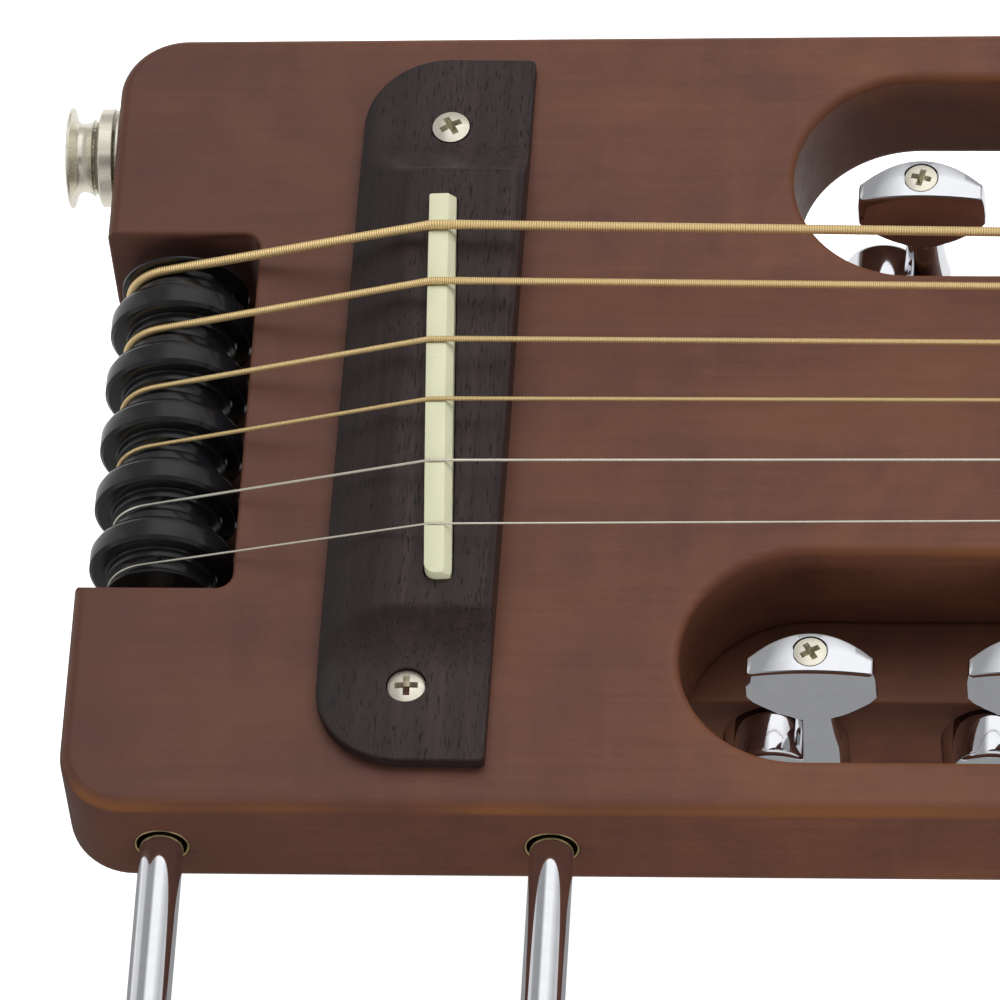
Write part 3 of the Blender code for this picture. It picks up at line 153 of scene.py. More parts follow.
def place(axis, u, v, w):
    """A point with w along the axis and u, v across it."""
    return {"X": (w, u, v), "Y": (v, w, u), "Z": (u, v, w)}[axis]


def revolved(profile, axis, segments=64, hollow=False):
    """A body of revolution from (radius, height) points; hollow where the profile is a closed loop."""
    rings = []
    for k in range(segments):
        angle = 2 * pi * k / segments
        rings.append([place(axis, r * cos(angle), r * sin(angle), h) for r, h in profile])
    if hollow:
        return loft(rings, closed=True)
    points = [point for ring in zip(*rings) for point in ring]
    levels = [points[k * segments:(k + 1) * segments] for k in range(len(profile))]
    return loft(levels)


def rod(axis, radius, low, high, segments=48):
    return revolved([(radius, low), (radius, high)], axis, segments)


def prism(outline, axis, low, high):
    return loft([[place(axis, p[0], p[1], level) for p in outline] for level in (low, high)])


def box(x, y, z):
    return prism([(x[0], y[0]), (x[1], y[0]), (x[1], y[1]), (x[0], y[1])], "Z", *z)


def moved(shape, shift):
    return [tuple(np.add(p, shift)) for p in shape[0]], shape[1]


def turned(shape, axis, angle):
    matrix = Matrix.Rotation(angle, 3, axis)
    return [tuple(matrix @ Vector(p)) for p in shape[0]], shape[1]


def flipped(shape, side):
    """The shape mirrored across the centre line where side is negative."""
    return [(x, side * y, z) for x, y, z in shape[0]], shape[1]


def rounded_outline(corners, steps, inset=0.0):
    """Corners (x, y, radius, share), anticlockwise, as points (x, y, share) with arcs.

    The share says how much of the inset the edge that starts at the corner takes."""
    count = len(corners)
    edges = []
    for k in range(count):
        start = np.array(corners[k][:2])
        run = np.array(corners[(k + 1) % count][:2]) - start
        run /= np.linalg.norm(run)
        edges.append((start + inset * corners[k][3] * np.array((-run[1], run[0])), run))
    points = []
    for k in range(count):
        (before, run_in), (here, run_out) = edges[k - 1], edges[k]
        cross = run_in[0] * run_out[1] - run_in[1] * run_out[0]
        gap = here - before
        corner = before + run_in * (gap[0] * run_out[1] - gap[1] * run_out[0]) / cross
        bend = atan2(cross, float(np.dot(run_in, run_out)))
        share_in, share_out = corners[k - 1][3], corners[k][3]
        drawn = inset * (share_in + share_out) / 2
        radius = max(corners[k][2] - drawn * np.sign(bend), 0.00005)
        reach = radius * tan(abs(bend) / 2)
        side = np.array((-run_in[1], run_in[0])) * np.sign(bend)
        centre = corner - run_in * reach + side * radius
        first = atan2(-side[1], -side[0])
        for step in range(steps + 1):
            angle = first + bend * step / steps
            share = share_in + (share_out - share_in) * step / steps
            points.append((centre[0] + radius * cos(angle), centre[1] + radius * sin(angle), share))
    return points


def tube(points, radii, sides=16):
    """A round tube along points, with the distance along it for each of its rings."""
    points = [Vector(p) for p in points]
    normal = None
    rings = []
    along = [0.0]
    for k, point in enumerate(points):
        ahead = points[min(k + 1, len(points) - 1)] - points[max(k - 1, 0)]
        ahead.normalize()
        if normal is None:
            normal = ahead.orthogonal().normalized()
        normal = (normal - ahead * normal.dot(ahead)).normalized()
        other = ahead.cross(normal)
        ring = []
        for j in range(sides):
            angle = 2 * pi * j / sides
            ring.append(tuple(point + (normal * cos(angle) + other * sin(angle)) * radii[k]))
        rings.append(ring)
        if k:
            along.append(along[-1] + (point - points[k - 1]).length)
    return loft(rings), [a for a in along for _ in range(sides)]


def radial(levels, segments, axis):
    """A body whose radius depends on the angle: levels are (height, function of angle)."""
    rings = []
    for height, radius_at in levels:
        ring = []
        for k in range(segments):
            angle = 2 * pi * k / segments
            radius = radius_at(angle)
            ring.append(place(axis, radius * cos(angle), radius * sin(angle), height))
        rings.append(ring)
    return loft(rings)


# Objects

def raw(name, shape):
    """An object of one closed mesh with its faces outwards, not yet a piece."""
    mesh = bpy.data.meshes.new(name)
    mesh.from_pydata([tuple(p) for p in shape[0]], [], shape[1])
    shell = bmesh.new()
    shell.from_mesh(mesh)
    bmesh.ops.remove_doubles(shell, verts=shell.verts, dist=1e-7)
    bmesh.ops.recalc_face_normals(shell, faces=shell.faces)
    shell.to_mesh(mesh)
    shell.free()
    made = bpy.data.objects.new(name, mesh)
    bpy.context.scene.collection.objects.link(made)
    return made


def carve(target, shape, operation="DIFFERENCE"):
    """Applies one Boolean to an object's mesh."""
    tool = raw("tool", shape)
    tool.location = target.location
    step = target.modifiers.new("step", "BOOLEAN")
    step.operation = operation
    step.object = tool
    graph = bpy.context.evaluated_depsgraph_get()
    result = bpy.data.meshes.new_from_object(target.evaluated_get(graph))
    target.modifiers.clear()
    old = target.data
    target.data = result
    bpy.data.meshes.remove(old)
    bpy.data.objects.remove(tool)


def finished(made, finish, body="guitar", nodes=(), sharp=35, edge=0.0, weighted=False):
    """Gives an object its finish, the body that it rides on and the solids that it stands for."""
    mesh = made.data
    mesh.materials.clear()
    mesh.materials.append(FINISHES[finish])
    mesh.shade_smooth()
    mesh.set_sharp_from_angle(angle=radians(sharp))
    if edge:
        bevel = made.modifiers.new("edges", "BEVEL")
        bevel.width = edge
        bevel.segments = 2
        bevel.limit_method = "ANGLE"
        bevel.angle_limit = radians(50)
        bevel.use_clamp_overlap = True
    if edge or weighted:
        normals = made.modifiers.new("normals", "WEIGHTED_NORMAL")
        normals.keep_sharp = True
    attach(made, body)
    if nodes:
        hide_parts(*nodes)
    return made


def piece(name, shape, finish, at=(0, 0, 0), **facts):
    made = raw(name, shape)
    made.location = at
    return finished(made, finish, **facts)


# Finishes

def opaque(colour):
    """A colour, or one grey level for all three channels, with full alpha."""
    return (colour, colour, colour, 1) if isinstance(colour, (int, float)) else (*colour, 1)


class Nodes:
    """Short calls for the nodes of one tree."""

    def __init__(self, tree):
        self.tree = tree

    def node(self, kind, inputs=None, **settings):
        made = self.tree.nodes.new(kind)
        for key, value in settings.items():
            setattr(made, key, value)
        for key, value in (inputs or {}).items():
            self.put(value, made.inputs[key])
        return made

    def put(self, value, socket):
        if isinstance(value, bpy.types.NodeSocket):
            self.tree.links.new(value, socket)
        else:
            socket.default_value = value

    def part(self, vector, axis):
        return self.node("ShaderNodeSeparateXYZ", {"Vector": vector}).outputs[axis]

    def ramp(self, value, stops):
        made = self.node("ShaderNodeValToRGB", {"Fac": value})
        elements = made.color_ramp.elements
        while len(elements) < len(stops):
            elements.new(0.5)
        for element, (position, colour) in zip(elements, stops):
            element.position = position
            element.color = opaque(colour)
        return made.outputs["Color"]

    def maths(self, operation, *values):
        made = self.node("ShaderNodeMath", operation=operation)
        for socket, value in zip(made.inputs, values):
            self.put(value, socket)
        return made.outputs["Value"]

    def mix(self, share, first, second):
        made = self.node("ShaderNodeMix", {0: share}, data_type="RGBA")
        for index, value in ((6, first), (7, second)):
            linked = isinstance(value, bpy.types.NodeSocket)
            self.put(value if linked else opaque(value), made.inputs[index])
        return made.outputs[2]


class Finish(Nodes):
    """A material with its shader, and the patterns that finishes share."""

    def __init__(self, name, colour, roughness, metallic=0.0):
        self.material = bpy.data.materials.new(name + "_finish")
        self.material.use_nodes = True
        super().__init__(self.material.node_tree)
        self.shader = self.tree.nodes["Principled BSDF"]
        self.set("Base Color", opaque(colour))
        self.set("Roughness", roughness)
        self.set("Metallic", metallic)
        self.bumped = None

    def set(self, name, value):
        self.put(value, self.shader.inputs[name])

    def coordinates(self, scale=(1, 1, 1)):
        coords = self.node("ShaderNodeTexCoord").outputs["Object"]
        return self.node("ShaderNodeMapping", {"Vector": coords, "Scale": scale}).outputs["Vector"]

    def noise(self, size, stretch=(1, 1, 1), detail=4.0, roughness=0.5, distortion=0.0):
        """Noise whose features are about the given size, longer where the stretch is larger."""
        vector = self.coordinates(tuple(1 / (size * s) for s in stretch))
        inputs = {"Vector": vector, "Scale": 1.0, "Detail": detail, "Roughness": roughness,
                  "Distortion": distortion}
        return self.node("ShaderNodeTexNoise", inputs).outputs["Fac"]

    def span(self, value, low, high, first=0.0, last=1.0):
        inputs = {"Value": value, "From Min": low, "From Max": high, "To Min": first, "To Max": last}
        return self.node("ShaderNodeMapRange", inputs).outputs["Result"]

    def bump(self, height, distance):
        """Adds a bump; distance is the height in metres of a full step."""
        made = self.node("ShaderNodeBump", {"Height": height, "Distance": distance, "Strength": 1.0})
        if self.bumped:
            self.put(self.bumped, made.inputs["Normal"])
        self.bumped = made.outputs["Normal"]
        self.set("Normal", self.bumped)

    def upward(self):
        return self.part(self.node("ShaderNodeNewGeometry").outputs["Normal"], "Z")

    def rounding(self):
        """One on the rounded strip between a face and the wall below it, zero on both."""
        up = self.upward()
        strip = self.maths("MULTIPLY", up, self.maths("SUBTRACT", 1.0, up))
        return self.maths("MINIMUM", 1.0, self.maths("MAXIMUM", 0.0, self.maths("MULTIPLY", strip, 4.0)))


def stained_maple():
    """Thin brown stain over maple: cloudy, with fine grain and pale flames, painted shade towards the tail,
    and edges lighter orange, partly rubbed and partly a painted highlight.
    """
    made = Finish("stained_maple", (0.11, 0.042, 0.026), 0.4)
    clouds = made.noise(0.022, (1.5, 1, 1), 4, 0.6, 0.5)
    colour = made.ramp(clouds, [(0.30, (0.086, 0.034, 0.0245)), (0.5, (0.121, 0.0455, 0.0275)),
                                (0.70, (0.154, 0.060, 0.0305))])
    flame = made.noise(0.007, (0.8, 4, 2), 3, 0.55, 0.8)
    colour = made.mix(made.span(flame, 0.46, 0.72, 0, 0.42), colour, (0.156, 0.061, 0.033))
    grain = made.noise(0.0011, (26, 1, 1), 5, 0.62, 0.3)
    colour = made.mix(made.span(grain, 0.42, 0.75, 0, 0.32), colour, (0.058, 0.023, 0.018))
    speckle = made.noise(0.0006, (2.2, 1, 1), 2, 0.7)
    colour = made.mix(made.span(speckle, 0.35, 0.75, 0, 0.22), colour, (0.160, 0.068, 0.043))
    along, across = (made.part(made.coordinates(), axis) for axis in "XY")
    # Painted shade: the face darkens towards the tail, where less light falls.
    painted_tail_shade = made.span(along, 0.0, 0.10, 0.60, 0.0)
    colour = made.mix(painted_tail_shade, colour, (0.060, 0.027, 0.022))
    # Lighter orange on the rounded edges, strongest on the front edge and towards the neck: partly stain
    # rubbed thin, partly a painted highlight where the edges catch the light.
    patches = made.span(made.noise(0.012, (3, 1, 1), 2), 0.36, 0.60, 0.15, 0.95)
    neckward = made.span(along, 0.09, 0.13, 0.25, 0.9)
    rim = made.span(made.maths("ABSOLUTE", across), 0.061, 0.064, 0.0, 1.0)
    rubbed = made.maths("MULTIPLY", patches, made.maths("MAXIMUM", neckward, rim))
    rubbed_edge_and_highlight = made.maths("MULTIPLY", made.rounding(), rubbed)
    colour = made.mix(rubbed_edge_and_highlight, colour, (0.185, 0.070, 0.024))
    made.set("Base Color", colour)
    made.set("Roughness", made.span(made.noise(0.002, (3, 1, 1)), 0.3, 0.7, 0.38, 0.48))
    made.set("Specular IOR Level", made.span(made.upward(), 0.2, 0.9, 0.08, 0.25))
    made.bump(grain, 0.000012)
    made.bump(speckle, 0.000008)
    return made.material


def dark_rosewood():
    """Dark wood with bands and open pores, and painted shade on the bridge's slope to the tail."""
    made = Finish("dark_rosewood", (0.028, 0.020, 0.018), 0.42)
    bands = made.noise(0.0014, (1, 22, 1), 3, 0.55, 0.2)
    colour = made.ramp(bands, [(0.3, (0.0185, 0.0105, 0.0105)), (0.55, (0.0255, 0.0148, 0.0145)),
                               (0.8, (0.037, 0.0220, 0.0205))])
    pores = made.noise(0.00024, (1, 9, 1), 2, 0.5)
    dashes = made.span(pores, 0.60, 0.67, 0, 1.0)
    colour = made.mix(dashes, colour, (0.002, 0.0014, 0.0014))
    # Painted shade: the bridge's slope to the tail faces away from the light, so its colour is darkened.
    slope = made.span(made.part(made.coordinates(), "X"), 0.035, 0.046, 0.75, 0.0)
    colour = made.mix(slope, colour, (0.009, 0.006, 0.006))
    made.set("Base Color", colour)
    made.set("Roughness", made.span(made.noise(0.003, (1, 4, 1)), 0.3, 0.7, 0.38, 0.5))
    made.set("Specular IOR Level", 0.3)
    made.bump(made.maths("SUBTRACT", 1.0, dashes), 0.00002)
    return made.material


def black_roller():
    made = Finish("black_roller", (0.009, 0.009, 0.0105), 0.2)
    made.set("Specular IOR Level", 0.4)
    scuffs = made.noise(0.004, (1, 1, 1), 5, 0.6)
    shades = [(0.35, (0.0075, 0.0075, 0.009)), (0.7, (0.014, 0.0135, 0.015))]
    made.set("Base Color", made.ramp(scuffs, shades))
    made.set("Roughness", made.span(scuffs, 0.3, 0.75, 0.16, 0.27))
    made.bump(made.noise(0.0009), 0.000004)
    return made.material


def bone():
    made = Finish("bone", (0.70, 0.70, 0.49), 0.32)
    clouds = made.noise(0.004, (1, 3, 1), 3, 0.5)
    made.set("Base Color", made.ramp(clouds, [(0.3, (0.575, 0.58, 0.395)), (0.7, (0.65, 0.645, 0.455))]))
    made.set("Roughness", made.span(made.noise(0.0015), 0.3, 0.7, 0.26, 0.4))
    made.set("Subsurface Weight", 0.08)
    made.set("Subsurface Radius", (0.002, 0.0018, 0.001))
    made.set("Subsurface Scale", 0.5)
    made.bump(made.noise(0.0005), 0.000006)
    return made.material


def metal(name, colour, dull, roughness, grain=(1, 1, 1), size=0.002, depth=0.000002, metallic=1.0):
    """Plated or drawn metal: its colour drifts to a duller one, and polishing marks vary its gloss."""
    made = Finish(name, colour, roughness[0], metallic)
    marks = made.noise(size, grain, 5, 0.6)
    made.set("Base Color", made.ramp(marks, [(0.3, colour), (0.8, dull)]))
    made.set("Roughness", made.span(marks, 0.3, 0.75, *roughness))
    made.bump(marks, depth)
    return made.material


def wound_bronze():
    """Bronze wrap wire: ridges round the string, read from the distance along it, with painted shade between
    the windings and a painted highlight on each crest.
    """
    made = Finish("bronze_wire", (0.80, 0.55, 0.26), 0.34, 0.7)
    along = made.node("ShaderNodeAttribute", attribute_name="wraps").outputs["Fac"]
    ridge = made.maths("PINGPONG", along, 0.5)
    ridge = made.span(ridge, 0.0, 0.5, 0, 1)
    round_ridge = made.maths("SQRT", ridge)
    # Painted shade in the gaps between the windings and a painted highlight on their crests.
    ridge_shade_and_highlight = [(0.0, (0.30, 0.13, 0.035)), (0.5, (0.95, 0.60, 0.22)), (1.0, (1.0, 0.84, 0.48))]
    made.set("Base Color", made.ramp(round_ridge, ridge_shade_and_highlight))
    made.set("Roughness", made.span(made.noise(0.002), 0.3, 0.7, 0.28, 0.40))
    made.bump(round_ridge, 0.00012)
    return made.material


def lead_jacket():
    made = Finish("lead_jacket", (0.02, 0.02, 0.02), 0.55)
    weave = made.noise(0.0006)
    made.set("Base Color", made.ramp(weave, [(0.3, (0.012, 0.012, 0.012)), (0.7, (0.03, 0.03, 0.032))]))
    made.bump(weave, 0.00003)
    return made.material


FINISHES = {
    "stained_maple": stained_maple(),
    "dark_rosewood": dark_rosewood(),
    "black_roller": black_roller(),
    "bone": bone(),
    "chrome": metal("chrome", (0.80, 0.81, 0.84), (0.74, 0.75, 0.79), (0.03, 0.09)),
    "nickel_steel": metal("nickel_steel", (0.84, 0.80, 0.68), (0.72, 0.68, 0.56), (0.2, 0.34),
                          (6, 1, 1), 0.0008, metallic=0.8),
    "bronze_wire": wound_bronze(),
    "brass": metal("brass", (0.72, 0.56, 0.27), (0.50, 0.36, 0.15), (0.22, 0.4)),
    "copper_foil": metal("copper_foil", (0.72, 0.42, 0.27), (0.55, 0.30, 0.18), (0.3, 0.45)),
    "lead_jacket": lead_jacket(),
}


# Body

def board_half(x):
    start = fret_x(FRETS) - BOARD_OVERHANG
    return (BOARD_WIDTH_END + (NUT_WIDTH - BOARD_WIDTH_END) * (x - start) / (NUT_X - start)) / 2


def fret_x(number):
    return NUT_X - SCALE * (1 - 2 ** (-number / 12))


def crown(y):
    return CROWN_RADIUS - sqrt(CROWN_RADIUS ** 2 - y ** 2)


def tuner_places():
    """String number, side (+1 bass, -1 treble) and shaft X of each tuner."""
    places = []
    for k in range(TUNERS_A_SIDE):
        places.append((k + 1, -1, TREBLE_TUNER_X + k * TUNER_PITCH))
        places.append((STRINGS - k, 1, BASS_TUNER_X + k * TUNER_PITCH))
    return places


def lipped(corners, steps, grow):
    """Rings of an outline from the plank's back to its face, with rounded lips at both."""
    lip_steps = 6
    rings = []
    for radius, level, up in ((BACK_ROUND, PLANK_BACK, 1), (FRONT_ROUND, FACE, -1)):
        for step in range(lip_steps + 1):
            angle = pi / 2 * (step if up < 0 else lip_steps - step) / lip_steps
            inset = grow * radius * (1 - cos(angle))
            drop = radius * (1 - sin(angle))
            outline = rounded_outline(corners, steps, inset)
            rings.append([(x, y, level + up * drop * share) for x, y, share in outline])
    return rings


def pierced(loops):
    """A board between its faces: each loop is a list of rings, the outline first, then the openings."""
    points = []
    faces = []
    for rings in loops:
        base = len(points)
        count = len(rings[0])
        for ring in rings:
            points += ring
        for level in range(len(rings) - 1):
            low = base + level * count
            for k in range(count):
                after = (k + 1) % count
                faces.append((low + k, low + after, low + count + after, low + count + k))
    for level in (0, -1):
        flat = [[Vector((x, y, 0)) for x, y, _ in rings[level]] for rings in loops]
        index = []
        base = 0
        for rings in loops:
            count = len(rings[0])
            first = base + (len(rings) - 1) * count * (1 if level else 0)
            index += list(range(first, first + count))
            base += count * len(rings)
        faces += [tuple(index[k] for k in triangle) for triangle in tessellate_polygon(flat)]
    return points, faces


def plank_shape():
    """The body board with its tail notch and both tuner slots."""
    neck = board_half(PLANK_END) - NECK_EDGE
    notch_lip = 0.3
    outer = [
        (0, -HALF, TAIL_RADIUS, 1),
        (TREBLE_SHOULDER, -HALF, SHOULDER_RADIUS, 1),
        (TREBLE_SHOULDER + SHOULDER_SLOPE, -neck, TREBLE_FILLET, 1),
        (PLANK_END, -neck, FRONT_ROUND * 2, 1),
        (PLANK_END, neck, FRONT_ROUND * 2, 1),
        (BASS_SHOULDER + SHOULDER_SLOPE, neck, BASS_FILLET, 1),
        (BASS_SHOULDER, HALF, SHOULDER_RADIUS, 1),
        (TAPER_LENGTH, HALF, TAPER_LENGTH, 1),
        (0, HALF - TAIL_TAPER, TAIL_RADIUS, 1),
        (0, NOTCH_HALF, 0.0005, notch_lip),
        (NOTCH_DEPTH, NOTCH_HALF, NOTCH_CORNER, notch_lip),
        (NOTCH_DEPTH, -NOTCH_HALF, NOTCH_CORNER, notch_lip),
        (0, -NOTCH_HALF, 0.0005, 1),
    ]
    loops = [lipped(outer, 14, 1)]
    for side, first in ((1, BASS_TUNER_X), (-1, TREBLE_TUNER_X)):
        start = first - SLOT_END_LEAD
        end = first + (TUNERS_A_SIDE - 1) * TUNER_PITCH + SLOT_END_LEAD
        low, high = side * SLOT_MID - SLOT_RADIUS, side * SLOT_MID + SLOT_RADIUS
        places = ((start, low), (end, low), (end, high), (start, high))
        corners = [(x, y, SLOT_RADIUS * 0.999, 0.75) for x, y in places]
        loops.append(lipped(corners, 24, -1))
    return pierced(loops)


def arc_corner(half, bottom, radius, steps):
    """From the upright side round a corner to the flat back, as (y, z) points."""
    points = []
    for step in range(steps + 1):
        angle = pi / 2 * step / steps
        points.append((half - radius * (1 - cos(angle)), bottom + radius * (1 - sin(angle))))
    return points


def keel_section(x, half, top, bottom):
    corner = min(KEEL_CORNER, (top - bottom) / 3)
    lip = 0.0007
    side = [(half - lip, top), (half - lip * 0.3, top - lip * 0.3), (half, top - lip)]
    side += arc_corner(half, bottom, corner, 7)
    return [(x, -y, z) for y, z in side] + [(x, y, z) for y, z in reversed(side)]


def keel_shape():
    """The keel from its rounded tail to the heel, where it narrows and climbs to the neck's back."""
    slots_end = BASS_TUNER_X + (TUNERS_A_SIDE - 1) * TUNER_PITCH + SLOT_END_LEAD
    inside = FACE - PLANK * 0.6
    sections = []
    for step in range(8):
        angle = pi / 2 * step / 7
        back = KEEL_CORNER * (1 - sin(angle))
        sections.append((KEEL_TAIL + KEEL_CORNER * (1 - cos(angle)), KEEL_HALF - back, LEDGE, back))
    sections.append((slots_end + KEEL_CORNER, KEEL_HALF, LEDGE, 0))
    sections.append((slots_end + 2 * KEEL_CORNER, KEEL_HALF, inside, 0))
    end = KEEL_FLAT_END + HEEL_LENGTH
    neck_half = board_half(end) - NECK_EDGE * 2
    neck_back = FACE - NECK_DEPTH_HEEL + NECK_EDGE
    steps = 40
    for step in range(steps + 1):
        x = KEEL_NARROWING + (end - KEEL_NARROWING) * step / steps
        narrow = (1 - cos(pi * step / steps)) / 2
        climb = max(0.0, (x - KEEL_FLAT_END) / HEEL_LENGTH)
        half = KEEL_HALF + (neck_half - KEEL_HALF) * narrow
        sections.append((x, half, inside, neck_back * (1 - cos(climb * pi / 2))))
    return loft([keel_section(*section) for section in sections])


def neck_section(x, half, depth):
    steps = 32
    points = [(x, -half, FACE), (x, half, FACE)]
    for step in range(steps + 1):
        angle = pi * step / steps
        points.append((x, half * cos(angle), FACE - NECK_EDGE - (depth - NECK_EDGE) * sin(angle)))
    return points


def neck_shape():
    """The neck's half-round bar from the body to the flared head."""
    sections = []
    for step in range(13):
        share = step / 12
        x = TREBLE_SHOULDER + (NUT_X - TREBLE_SHOULDER) * share
        sections.append((x, board_half(x), NECK_DEPTH_HEEL + (NECK_DEPTH_NUT - NECK_DEPTH_HEEL) * share))
    head = NUT_WIDTH / 2 + HEAD_FLARE
    sections.append((NUT_X + NUT_LENGTH, NUT_WIDTH / 2, NECK_DEPTH_NUT))
    for step in range(1, 9):
        share = step / 8
        swell = (1 - cos(pi * share)) / 2
        x = NUT_X + NUT_LENGTH + HEAD_FLARE * 2 * share
        sections.append((x, NUT_WIDTH / 2 + HEAD_FLARE * swell, NECK_DEPTH_NUT))
    for step in range(7):
        angle = pi / 2 * step / 6
        back = HEAD_FLARE * (1 - cos(angle))
        sections.append((HEAD_END - HEAD_FLARE * (1 - sin(angle)), head - back, NECK_DEPTH_NUT - back))
    return loft([neck_section(*section) for section in sections])


def tuner_pocket(side, shaft_x):
    """The round-topped recess in the keel's side behind a tuner."""
    radius = POCKET_RADIUS
    middle = shaft_x - POCKET_SHIFT
    top = FACE - POCKET_TOP - radius
    outline = [(-KEEL_CORNER, middle - radius)]
    for step in range(33):
        angle = pi - pi * step / 32
        outline.append((top + radius * sin(angle), middle + radius * cos(angle)))
    outline.append((-KEEL_CORNER, middle + radius))
    span = sorted((side * (KEEL_HALF - POCKET_DEPTH), side * (KEEL_HALF + KEEL_CORNER)))
    return prism(outline, "Y", *span)


def string_pocket():
    """The open middle of the keel, where the strings run to their posts."""
    tail, half, narrow, taper_end, end = NOTCH_DEPTH - 0.005, 0.0285, 0.021, 0.104, 0.178
    corners = [
        (tail, -half, 0.001, 1), (taper_end, -narrow, 0.001, 1), (end, -narrow, 0.004, 1),
        (end, narrow, 0.004, 1), (taper_end, narrow, 0.001, 1), (tail, half, 0.001, 1),
    ]
    return prism(rounded_outline(corners, 6), "Z", -PLANK, FACE - 0.0135)


def make_body():
    body = raw("guitar_body", plank_shape())
    carve(body, keel_shape(), "UNION")
    carve(body, neck_shape(), "UNION")
    carve(body, string_pocket())
    across = (-NOTCH_HALF - 0.001, NOTCH_HALF + 0.001)
    bar = box((BAR_START, NOTCH_DEPTH + 0.001), across, (FACE - BAR_BOTTOM, FACE - BAR_TOP))
    carve(body, bar, "UNION")
    carve(body, moved(rod("Y", AXLE_BORE, -AXLE_REACH, AXLE_REACH, 32), (ROLLER_X, 0, ROLLER_Z)))
    for _, side, shaft_x in tuner_places():
        carve(body, tuner_pocket(side, shaft_x))
        span = sorted(side * y for y in POST_BORE_SPAN)
        carve(body, moved(rod("Y", POST_BORE, *span), (shaft_x - TUNER_CENTRES, 0, GEAR_Z)))
    for node in ("lap_rest_socket_tail", "lap_rest_socket_neck"):
        low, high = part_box(node)
        middle = (low + high) / 2
        radius = (high.z - low.z) / 2 + 0.00005
        carve(body, moved(rod("Y", radius, -HALF - PLANK, high.y + FIT), (middle.x - TAIL, 0, middle.z)))
    low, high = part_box("jack_nut")
    jack = (low + high) / 2
    carve(body, moved(rod("X", JACK_BORE, -PLANK, JACK_BORE_END), (0, jack.y, jack.z)))
    head = (NUT_X + NUT_LENGTH - 0.002, NUT_X + NUT_LENGTH + 0.0085)
    height = (FACE - TRUSS_CHANNEL_DEPTH, FACE + PLANK)
    carve(body, box(head, (-TRUSS_CHANNEL, TRUSS_CHANNEL), height))
    body.location = (TAIL, 0, 0)
    finished(body, "stained_maple", nodes=("neck_through_body",), edge=0.0004)


# Rollers

def roller_y(number):
    return (number - (STRINGS + 1) / 2) * ROLLER_PITCH


def roller_outline(number):
    """Closed (radius, Y) profile: a grooved drum with its flange to the bass side."""
    bore, drum, lip, flange = 0.0022, 0.0077, 0.0091, 0.0102
    flange_start, flange_end = 0.0025, 0.00655
    drum_end, chamfer, bevel, soft = 0.0015, 0.0005, 0.001, 0.00012
    groove = [(drum, 0.0013), (drum - 0.00006, 0.00114), (drum - 0.0005, 0.0009),
              (GROOVE_RADIUS + 0.00015, 0.0006), (GROOVE_RADIUS, 0.0003)]
    treble_wall = [(r, -h) for r, h in reversed(groove)]
    if number == STRINGS:
        groove = [(lip, 0.00115), (lip - 0.0001, 0.00105), (drum, 0.0009), (GROOVE_RADIUS + 0.00015, 0.0007),
                  (GROOVE_RADIUS, 0.0003)]
    groove += treble_wall
    low = -drum_end if number == 1 else flange_end - ROLLER_PITCH + FIT
    profile = [*groove, (drum, low + soft), (drum - soft, low), (bore, low)]
    if number == STRINGS:
        return profile + [(bore, drum_end), (lip - soft, drum_end), (lip, drum_end - soft)]
    bass = [(flange - chamfer - soft, flange_end), (flange - chamfer, flange_end - soft),
            (flange - soft / 4, flange_end - bevel), (flange, flange_end - bevel - soft)]
    treble = [(flange, flange_start + chamfer + soft), (flange - soft / 3, flange_start + chamfer),
              (flange - chamfer, flange_start + soft / 3), (flange - chamfer - soft, flange_start)]
    return [*profile, (bore, flange_end), *bass, *treble, (drum + 0.0002, flange_start),
            (drum, flange_start - 0.0002)]


def make_rollers():
    for number in range(1, STRINGS + 1):
        name = f"string_roller_{number}"
        shape = revolved(roller_outline(number), "Y", 128, hollow=True)
        piece(name, shape, "black_roller", (ROLLER_X + TAIL, roller_y(number), ROLLER_Z), body=name,
              nodes=(f"roller_{number}",), sharp=25)
    low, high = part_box("roller_axle")
    centre = (low + high) / 2
    half = (high.y - low.y) / 2
    radius = (high.z - low.z) / 2
    chamfer = radius * 0.2
    inner = radius - chamfer
    profile = [(inner, -half), (radius, -half + chamfer), (radius, half - chamfer), (inner, half)]
    piece("roller_pin", revolved(profile, "Y", 48), "nickel_steel", centre, nodes=("roller_axle",))


# Bridge and saddle

BRIDGE_TAIL = 0.0356
BRIDGE_HEAD = 0.0596
BRIDGE_HALF = 0.0600
BRIDGE_HEIGHT = 0.0065
BRIDGE_WING = 0.0020
BRIDGE_TURN = 0.009
BRIDGE_TAIL_CORNER = 0.0120
BRIDGE_NECK_CORNER = 0.0009
SADDLE_SLANT = 0.0452
SADDLE_SHIFT = -0.0006
SADDLE_LENGTH = 0.065
SCREW_RIM = 0.0004
SADDLE_THICK = 0.0038
SADDLE_TOP = 0.00923
BRIDGE_SCREW = (0.0481, 0.0477)


def soft_min(a, b, blend):
    """The lower of two heights, with a fillet where they meet."""
    share = max(0.0, min(1.0, 0.5 + 0.5 * (b - a) / blend))
    return b + (a - b) * share - blend * share * (1 - share)


def eased(value):
    value = max(0.0, min(1.0, value))
    return value * value * (3 - 2 * value)


def bridge_height(x, y):
    """Height of the bridge's top over the face: a plateau, a slope to the tail and two dished wings."""
    rise = BRIDGE_HEIGHT - BRIDGE_WING
    tail_slope = BRIDGE_WING + 0.0004 + (rise + 0.0002) * min(1.2, (x - BRIDGE_TAIL) / 0.0090)
    drop = max(0.0, min(1.0, (abs(y) - 0.0372) / 0.0092))
    wing = BRIDGE_WING + rise * (1 - drop) ** 2.0
    return soft_min(tail_slope, soft_min(wing, BRIDGE_HEIGHT, 0.0008), 0.0014)


